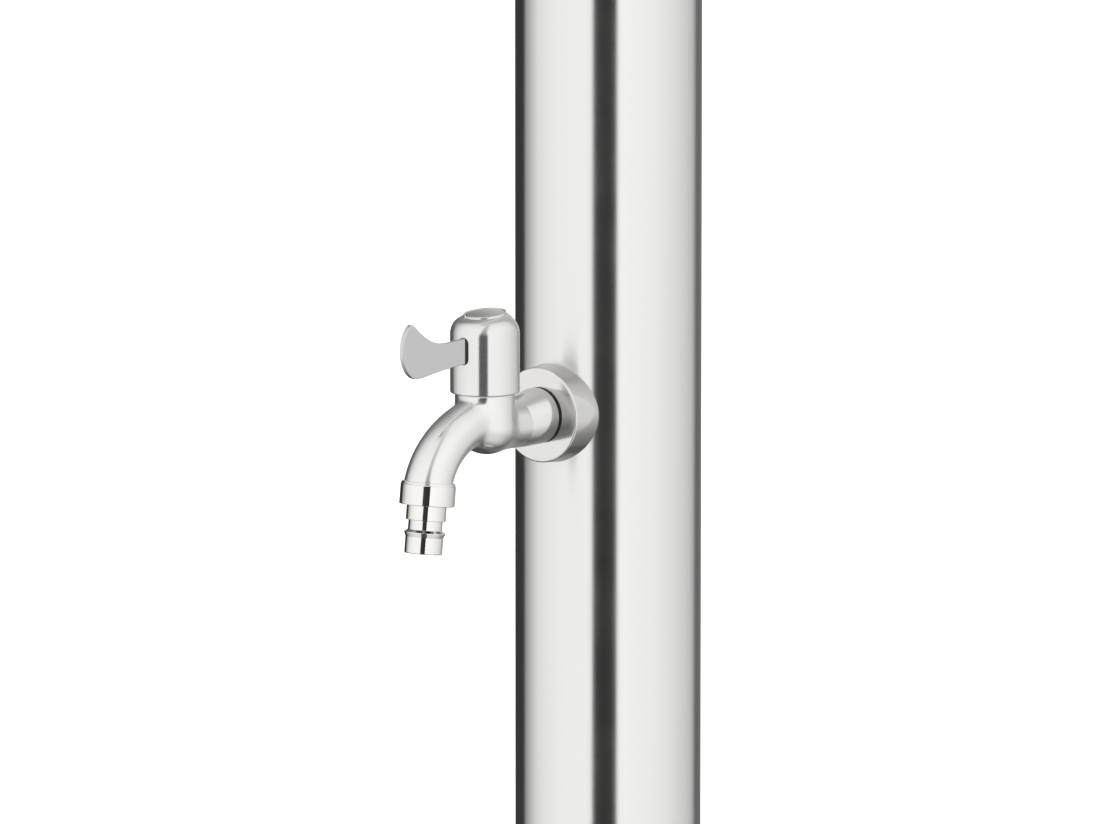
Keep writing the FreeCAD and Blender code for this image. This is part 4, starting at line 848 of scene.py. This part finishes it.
# ---- rosettes: turned discs with backs cut to the column's curve ----
def rosette(name, radius, front, hole, edge, z, finish, replaces, flare=0.0):
    """Disc on the column: the front is flat, the back follows the column."""
    seg = 192
    prof = []  # (r, z or None for the column's surface, normal r, normal z)
    k = 10
    inner_e = 0.25
    rows = []
    rows.append([(hole, None)])
    for i in range(k + 1):  # hole edge
        a = math.radians(90 * i / k)
        prof.append((hole + inner_e * (1 - math.sin(a)), front - inner_e * (1 - math.cos(a)) if False else front - inner_e + inner_e * math.sin(a), -math.cos(a), math.sin(a)))
    prof = [(hole + inner_e - inner_e * math.cos(a), front - inner_e + inner_e * math.sin(a), -math.cos(a), math.sin(a))
            for a in [math.radians(90 * i / k) for i in range(k + 1)]]
    for t in (0.25, 0.5, 0.75):
        prof.append((hole + (radius - edge - hole) * t, front, 0.0, 1.0))
    prof += [(radius - edge + edge * math.sin(a), front - edge + edge * math.cos(a), math.sin(a), math.cos(a))
             for a in [math.radians(90 * i / k) for i in range(k + 1)]]
    verts, norms = [], []
    cs = [(math.cos(2 * math.pi * i / seg), math.sin(2 * math.pi * i / seg)) for i in range(seg)]

    def back(r, c, s):
        # the column's axis lies along the disc's local Y
        x = r * c
        return math.sqrt(max(38.05 ** 2 - x * x, 0.0)) + 0.01

    # inner wall bottom, profile, outer wall bottom, then back rings towards the hole
    wide = radius + flare
    table = [("b", hole, -1.0)] + [("p",) + p for p in prof] + [("b", wide, 1.0)]
    for i in range(1, 9):
        table.append(("b", wide + (hole - wide) * i / 9.0, 0.0))
    for row in table:
        for c, s in cs:
            if row[0] == "p":
                verts.append((row[1] * c, row[1] * s, row[2]))
            else:
                verts.append((row[1] * c, row[1] * s, back(row[1], c, s)))
    faces, ln = [], []
    m = len(table)

    def nrm(row, j, kind):
        c, s = cs[j % seg]
        if kind == "in":
            return (-c, -s, 0.0)
        if kind == "out":
            return (c, s, 0.0)
        if kind == "back":
            x = row[1] * c
            z_ = math.sqrt(max(38.05 ** 2 - x * x, 0.0))
            return (-x / 38.05, 0.0, -z_ / 38.05)
        return (row[3] * c, row[3] * s, row[4])

    for i in range(m):
        a, b = table[i], table[(i + 1) % m]
        if a[0] == "b" and b[0] == "p":
            ka, kb = "in", "prof"
        elif a[0] == "p" and b[0] == "b":
            ka, kb = "prof", "out"
        elif a[0] == "p":
            ka, kb = "prof", "prof"
        else:
            ka, kb = "back", "back"
        i2 = (i + 1) % m
        for j in range(seg):
            j2 = (j + 1) % seg
            faces.append((i2 * seg + j, i2 * seg + j2, i * seg + j2, i * seg + j))
            ln += [nrm(b, j, kb), nrm(b, j2, kb), nrm(a, j2, ka), nrm(a, j, ka)]
    return finish_piece(name, verts, faces, None, finish, "root", replaces, place((0, 0, z), FRONT), loop_normals=ln)


rosette("foot_tap_rosette", 19.4, 46.2, 10.7, 0.9, TAP, "rosette", ["tap_rosette"], flare=0.7)
rosette("valve_wall_rosette", 31.0, 46.0, 13.5, 1.2, VALVE, "rosette", ["valve_rosette"])
rosette("arm_wall_rosette", 27.0, 45.0, 11.1, 1.2, ARM, "rosette", ["arm_rosette"])

lathe("foot_tap_seal_ring", [(10.6, 46.22), (11.3, 46.22, 0.2), (11.3, 47.2, 0.2), (10.6, 47.2)],
      "seam", "root", ["tap_seal_washer"], place((0, 0, TAP), FRONT), seg=96)

neck_end = 40.0 + 13.2 * 1.25
lathe("valve_neck_sleeve", [(13.4, 46.0), (15.1, 46.0, 0.2), (15.1, neck_end, 0.6), (13.4, neck_end, 0.1)],
      "polished", "root", ["valve_sleeve_nut"], place((0, 0, VALVE), FRONT), seg=128)

# ---- base ----
lathe("base_cover_spun", [
    (125.0, 1.0, 0.3), (125.0, 42.0, 9.0), (39.3, 42.0, 0.3), (39.3, 40.5), (123.5, 40.5, 7.5), (123.5, 1.0, 0.3)],
      "spun", "root", ["base_cover"], seg=256, step=5.0)
lathe("base_cover_seal_ring", [
    (38.05, 39.0), (40.65, 39.0, 0.2), (40.65, 40.5), (39.3, 40.5), (39.3, 42.0), (42.25, 42.0), (42.25, 42.8, 0.4), (41.45, 43.8, 0.5), (38.05, 44.2, 0.1)],
      "rubber", "root", ["base_cover_seal"], seg=192)

# ---- shower arm ----
def swept(name, path, radius, inner, finish, body, replaces, seg=96):
    """Round tube along a plane path of (y, z) points with tangents; open ends are closed by rings."""
    P = np.array([p[:2] for p in path], float)
    T = np.array([p[2:] for p in path], float)
    verts, ln, faces = [], [], []
    cs = [(math.cos(2 * math.pi * i / seg), math.sin(2 * math.pi * i / seg)) for i in range(seg)]
    rings = []

    def ring(p, t, r):
        up = np.array([-t[1], t[0]])
        base = len(verts)
        for c, s in cs:
            verts.append((r * c, p[0] + up[0] * r * s, p[1] + up[1] * r * s))
        rings.append((base, up))
        return len(rings) - 1

    outer = [ring(P[0], T[0], radius - 0.3)]
    e = 0.3
    outer.append(ring(P[0] + T[0] * e, T[0], radius))
    for i in range(1, len(P) - 1):
        outer.append(ring(P[i], T[i], radius))
    outer.append(ring(P[-1] - T[-1] * e, T[-1], radius))
    outer.append(ring(P[-1], T[-1], radius - 0.3))
    inn = [ring(P[i], T[i], inner) for i in range(len(P) - 1, -1, -1)]
    order = outer + inn
    k = len(order)
    for a in range(k):
        A, B = rings[order[a]], rings[order[(a + 1) % k]]
        is_in = a >= len(outer)
        cap = a == len(outer) - 1 or a == k - 1
        for j in range(seg):
            j2 = (j + 1) % seg
            f = (A[0] + j, B[0] + j, B[0] + j2, A[0] + j2)
            faces.append(f)
            for (R_, jj) in ((A, j), (B, j), (B, j2), (A, j2)):
                c, s = cs[jj]
                if cap:
                    t = T[-1] if a == len(outer) - 1 else -T[0]
                    ln.append((0.0, t[0], t[1]))
                else:
                    sg = -1.0 if is_in else 1.0
                    ln.append((sg * c, sg * s * R_[1][0], sg * s * R_[1][1]))
    # faces point outwards: test one
    va = [np.array(verts[i]) for i in faces[seg // 8 + seg]]
    fn = np.cross(va[1] - va[0], va[2] - va[0])
    ref = np.array(ln[4 * (seg // 8 + seg)])
    if fn @ ref < 0:
        faces = [tuple(reversed(f)) for f in faces]
        ln2 = []
        for i in range(len(faces)):
            ln2 += list(reversed(ln[4 * i:4 * i + 4]))
        ln = ln2
    return finish_piece(name, verts, faces, None, finish, body, replaces, place((0, 0, 0)), loop_normals=ln)


path = [(-18.0, ARM, -1.0, 0.0), (-60.0, ARM, -1.0, 0.0), (-120.0, ARM, -1.0, 0.0), (-180.0, ARM, -1.0, 0.0)]
for i in range(0, 33):
    a = math.radians(90.0 * i / 32)
    path.append((-240.0 - 60.0 * math.sin(a), ARM - 60.0 + 60.0 * math.cos(a), -math.cos(a), -math.sin(a)))
path += [(-300.0, ARM - 75.0, 0.0, -1.0), (-300.0, ARM - 89.0, 0.0, -1.0)]
swept("shower_arm_tube", path, 11.0, 9.4, "tube", "root", ["shower_arm"])

# ---- ball joint and rain head (local origin: the ball's centre) ----
BALL = place((0, -300.0, ARM - 112.0))


def arc_points(r, a0, a1, k, flip=False):
    return [(r * math.cos(math.radians(a0 + (a1 - a0) * i / k)), r * math.sin(math.radians(a0 + (a1 - a0) * i / k))) for i in range(k + 1)]


nk = 6.3
a_top = math.degrees(math.acos(nk / 11.0))
a_bot = -math.degrees(math.acos(4.0 / 11.0))
stud = arc_points(11.0, a_bot, a_top, 40)
stud += [(6.3, 16.0, 1.0), (7.3, 17.0, 0.2), (14.0, 17.0, 0.9), (14.0, 36.0, 0.9), (11.0, 36.0, 0.1), (11.0, 21.4), (4.0, 21.4)]
lathe("head_ball_stud_turned", stud, "polished", "root", ["head_ball_stud"], BALL, seg=128)

so = 14.15
nut = [(16.0, -9.0, 0.15), (18.6, -9.0, 0.5), (18.6, 7.5, 0.8), (15.6, 12.0, 0.8), (13.0, 12.0, 0.5), (10.5, math.sqrt(so * so - 10.5 ** 2))]
nut += arc_points(so, math.degrees(math.asin(math.sqrt(so * so - 10.5 ** 2) / so)), math.degrees(math.asin(-1.2 / so)), 24)[1:]
nut += [(16.0, -1.2)]
lathe("head_union_nut_turned", nut, "polished", "shower_head", ["head_union_nut"], BALL, seg=128)

shell = [(4.5, -18.0), (4.5, -13.415)]
shell = [(4.5, -20.4), (10.0, -20.6), (24.0, -21.8, 8.0), (94.0, -28.0, 4.0), (98.4, -31.0, 1.0), (98.4, -36.5, 0.3), (100.0, -36.5, 0.4), (100.0, -29.5, 3.0),
         (94.0, -25.0, 9.0), (20.0, -18.5, 3.0), (16.0, -14.6, 1.0), (16.0, -1.2, 0.2), (14.1, -1.2)]
shell += arc_points(so, math.degrees(math.asin(-1.2 / so)), -71.4, 16)[1:]
lathe("head_shell_spun", shell, "spun", "shower_head", ["head_shell"], BALL, seg=256, step=6.0)


def drilled_disc(name, radius, z0, z1, rings, hole_r, extra, finish, replaces, bevel=0.0):
    """Round plate with rings of holes, drawn as one flat face pair joined by walls."""
    bm = bmesh.new()
    seg = 160
    loops = [[(radius * math.cos(2 * math.pi * i / seg), radius * math.sin(2 * math.pi * i / seg)) for i in range(seg)]]
    for rr, nn in rings:
        for k in range(nn):
            a = 2 * math.pi * k / nn
            cx, cy = rr * math.cos(a), rr * math.sin(a)
            loops.append([(cx + hole_r * math.cos(2 * math.pi * i / 16), cy + hole_r * math.sin(2 * math.pi * i / 16)) for i in range(16)])
    for (cx, cy, hr) in extra:
        loops.append([(cx + hr * math.cos(2 * math.pi * i / 20), cy + hr * math.sin(2 * math.pi * i / 20)) for i in range(20)])
    layers = []
    for z in (z0, z1):
        edges = []
        vv = []
        for lp in loops:
            vs = [bm.verts.new((x, y, z)) for x, y in lp]
            vv.append(vs)
            for i in range(len(vs)):
                edges.append(bm.edges.new((vs[i], vs[(i + 1) % len(vs)])))
        bmesh.ops.triangle_fill(bm, use_beauty=True, use_dissolve=False, edges=edges)
        layers.append(vv)
    for la, lb in zip(layers[0], layers[1]):
        for i in range(len(la)):
            j = (i + 1) % len(la)
            bm.faces.new((la[i], la[j], lb[j], lb[i]))
    bmesh.ops.recalc_face_normals(bm, faces=bm.faces)
    bm.verts.index_update()
    vs = np.array([v.co for v in bm.verts])
    fs = [[v.index for v in f.verts] for f in bm.faces]
    ln = []
    for f in bm.faces:
        ln += [tuple(f.normal)] * len(f.verts)
    bm.free()
    return finish_piece(name, vs, fs, None, finish, "shower_head", replaces, BALL, loop_normals=ln)


RINGS = [(16.0, 6), (33.0, 12), (50.0, 18), (67.0, 24), (84.0, 30)]
screw_at = [(92.0 * math.cos(math.radians(90 + 72 * i)), 92.0 * math.sin(math.radians(90 + 72 * i)), 1.7) for i in range(5)]
drilled_disc("head_spray_plate_drilled", 98.25, -36.3, -34.8, RINGS, 1.9, screw_at, "spun", ["head_spray_plate"])

# ---------------------------------------------------------------------------
# Studio
# ---------------------------------------------------------------------------
az, el = math.radians(VIEW_AZ), math.radians(VIEW_EL)
back = Vector((math.sin(az) * math.cos(el), -math.cos(az) * math.cos(el), math.sin(el)))
right = Vector((math.cos(az), math.sin(az), 0.0))
up = back.cross(right)

world = bpy.data.worlds.new("studio")
scene.world = world
world.use_nodes = True
W = Tree(world.node_tree)
for nd in list(W.n):
    W.n.remove(nd)
tc = W.add("ShaderNodeTexCoord")
sep = W.add("ShaderNodeSeparateXYZ")
W.link(tc.outputs["Generated"], sep.inputs[0])
dx, dy, dz = sep.outputs
ca, sa = math.cos(az), math.sin(az)
cc = W.math("SUBTRACT", W.math("MULTIPLY", dx, sa), W.math("MULTIPLY", dy, ca))
ss = W.math("ADD", W.math("MULTIPLY", dx, ca), W.math("MULTIPLY", dy, sa))
phi = W.math("ARCTAN2", ss, cc)
u = W.math("ADD", W.math("MULTIPLY", phi, 1.0 / (2 * math.pi)), 0.5)


def stop(deg, value):
    return ((deg + 180.0) / 360.0, value)


elev = W.math("MULTIPLY", W.math("ARCSINE", dz), 180.0 / math.pi)


def blend(fac, a, b):
    node = W.add("ShaderNodeMix", data_type="RGBA")
    W.link(fac, node.inputs[0])
    for sock, val in ((node.inputs[6], a), (node.inputs[7], b)):
        if isinstance(val, (int, float)):
            sock.default_value = (val, val, val, 1.0)
        else:
            W.link(val, sock)
    return node.outputs[2]


def height(deg, value):
    return ((deg + 90.0) / 180.0, value)


# white walls of the tent round the post, level with it; the side behind the camera is dark
wall = W.ramp(u, [
    stop(-180, 0.42), stop(-175, 0.20), stop(-168, 0.03), stop(-129, 0.03), stop(-124, 0.30), stop(-112, 0.48),
    stop(-98, 0.74), stop(-80, 0.82), stop(-62, 0.88), stop(-30, 0.90), stop(14, 0.95), stop(30, 0.91), stop(52, 0.88),
    stop(67, 0.83), stop(82, 0.77), stop(97, 0.69), stop(112, 0.60), stop(127, 0.48), stop(133, 0.30), stop(138, 0.12),
    stop(158, 0.12), stop(170, 0.20), stop(180, 0.42)])
# the tent's roof
roof = W.ramp(u, [
    stop(-180, 0.34), stop(-172, 0.20), stop(-160, 0.12), stop(-145, 0.18), stop(-127, 0.42), stop(-112, 0.60), stop(-97, 0.72),
    stop(-75, 0.82), stop(-40, 0.86), stop(40, 0.90), stop(82, 0.85), stop(97, 0.80), stop(112, 0.72), stop(130, 0.62),
    stop(150, 0.52), stop(166, 0.44), stop(180, 0.34)])
# the table under it
ground = W.ramp(u, [
    stop(-180, 0.04), stop(-135, 0.06), stop(-110, 0.24), stop(-90, 0.52), stop(-60, 0.66), stop(60, 0.62), stop(90, 0.46),
    stop(115, 0.20), stop(140, 0.05), stop(180, 0.04)])
eh = W.math("ADD", W.math("MULTIPLY", elev, 1.0 / 180.0), 0.5)
to_roof = W.ramp(eh, [height(-90, 0.0), height(8, 0.0), height(26, 0.75), height(45, 1.0), height(90, 1.0)])
to_ground = W.ramp(eh, [height(-90, 1.0), height(-56, 1.0), height(-30, 0.75), height(-14, 0.0), height(90, 0.0)])
# behind the post the table reaches higher
behind = W.ramp(u, [stop(-180, 1.0), stop(-150, 1.0), stop(-122, 0.0), stop(122, 0.0), stop(150, 1.0), stop(180, 1.0)])
to_ground_b = W.ramp(eh, [height(-90, 1.0), height(-24, 1.0), height(-15, 0.5), height(-10, 0.0), height(90, 0.0)])
to_ground = blend(behind, to_ground, to_ground_b)
col = blend(to_roof, wall, roof)
col = blend(to_ground, col, ground)
top_fade = W.ramp(eh, [height(-90, 0.25), height(-74, 0.40), height(-56, 0.95), height(-50, 1.0), height(90, 1.0)])
col = blend(top_fade, 0.0, col)
zenith = W.ramp(eh, [height(-90, 0.0), height(38, 0.0), height(66, 0.45), height(86, 1.0), height(90, 1.0)])
col = blend(zenith, col, 0.66)
# the tent's opening for the camera: a dark strip that narrows and pales upwards
shift = W.ramp(eh, [height(-90, 0.42), height(0, 0.42), height(22, 0.45), height(37, 0.51), height(52, 0.575), height(67, 0.63),
                    height(82, 0.58), height(90, 0.5)])
half = W.ramp(eh, [height(-90, 0.05), height(-60, 0.16), height(-34, 0.232), height(-12, 0.232), height(4, 0.228), height(18, 0.16),
                   height(30, 0.105), height(60, 0.05), height(76, 0.04), height(90, 0.02)])
shade = W.ramp(eh, [height(-90, 0.15), height(-60, 0.10), height(-36, 0.05), height(-20, 0.015), height(2, 0.02), height(16, 0.20),
                    height(30, 0.34), height(60, 0.45), height(80, 0.52), height(90, 0.55)])
# offset of the ray from the strip's middle; stored shift runs 0..1 for -0.5..0.5
off = W.math("ABSOLUTE", W.math("ADD", W.math("SUBTRACT", ss, shift), 0.5))
soft = W.ramp(eh, [height(-90, 0.10), height(-30, 0.05), height(10, 0.036), height(30, 0.06), height(60, 0.10), height(90, 0.12)])
inside = W.math("SUBTRACT", 1.0, W.math("DIVIDE", W.math("SUBTRACT", off, half), soft), clamp=True)
inside = W.math("MULTIPLY", inside, W.math("MULTIPLY", inside, W.math("SUBTRACT", 3.0, W.math("MULTIPLY", inside, 2.0))))
towards = W.math("GREATER_THAN", cc, 0.0)
col = blend(W.math("MULTIPLY", inside, towards), col, shade)
lp = W.add("ShaderNodeLightPath")
# light that has gone from piece to piece is even
again = W.math("GREATER_THAN", lp.outputs["Ray Depth"], 2.5)
even = W.ramp(u, [
    stop(-180, 0.88), stop(-150, 0.84), stop(-110, 0.72), stop(-70, 0.68), stop(-42, 0.57), stop(16, 0.55), stop(34, 0.74),
    stop(60, 0.82), stop(125, 0.84), stop(150, 0.86), stop(180, 0.88)])
under = W.ramp(eh, [height(-90, 0.10), height(-40, 0.16), height(-16, 0.62), height(-4, 1.0), height(90, 1.0)])
col = blend(W.math("MULTIPLY", again, 0.85), col, blend(under, 0.0, even))
env = W.add("ShaderNodeBackground")
W.link(col, env.inputs["Color"])
env.inputs["Strength"].default_value = 1.55
seen = W.add("ShaderNodeBackground")
seen.inputs["Color"].default_value = (1.0, 1.0, 1.0, 1.0)
seen.inputs["Strength"].default_value = 1.0
mix = W.add("ShaderNodeMixShader")
W.link(lp.outputs["Is Camera Ray"], mix.inputs[0])
W.link(env.outputs[0], mix.inputs[1])
W.link(seen.outputs[0], mix.inputs[2])
outn = W.add("ShaderNodeOutputWorld")
W.link(mix.outputs[0], outn.inputs[0])

# pale floor
fm = bpy.data.meshes.new("studio_floor")
S = 60.0
fm.from_pydata([(-S, -S, 0), (S, -S, 0), (S, S, 0), (-S, S, 0)], [], [(0, 1, 2, 3)])
floor = bpy.data.objects.new("studio_floor", fm)
scene.collection.objects.link(floor)
mat = bpy.data.materials.new("floor_pale")
mat.use_nodes = True
F = Tree(mat.node_tree)
fb = mat.node_tree.nodes["Principled BSDF"]
fb.inputs["Base Color"].default_value = (0.8, 0.8, 0.8, 1.0)
fb.inputs["Roughness"].default_value = 0.9
fb.inputs["Emission Color"].default_value = (1.0, 1.0, 1.0, 1.0)
fb.inputs["Emission Strength"].default_value = 0.72
fm.materials.append(mat)
floor.visible_glossy = False
floor.visible_diffuse = False

cam_data = bpy.data.cameras.new("camera")
cam = bpy.data.objects.new("camera", cam_data)
scene.collection.objects.link(cam)
scene.camera = cam
cam_data.sensor_width = 36.0
cam_data.lens = 36.0 * 4.0 / 0.44916
cam_data.clip_start = 0.1
cam_data.clip_end = 400.0
target = Vector((0, 0, TAP / 1000.0)) - right * 0.0238 - up * 0.00408
cam.matrix_world = Matrix.Translation(target + back * 4.0) @ Matrix((right, up, back)).transposed().to_4x4()

scene.view_settings.view_transform = "Standard"
scene.view_settings.look = "None"
scene.view_settings.exposure = 0.0
scene.view_settings.gamma = 1.0
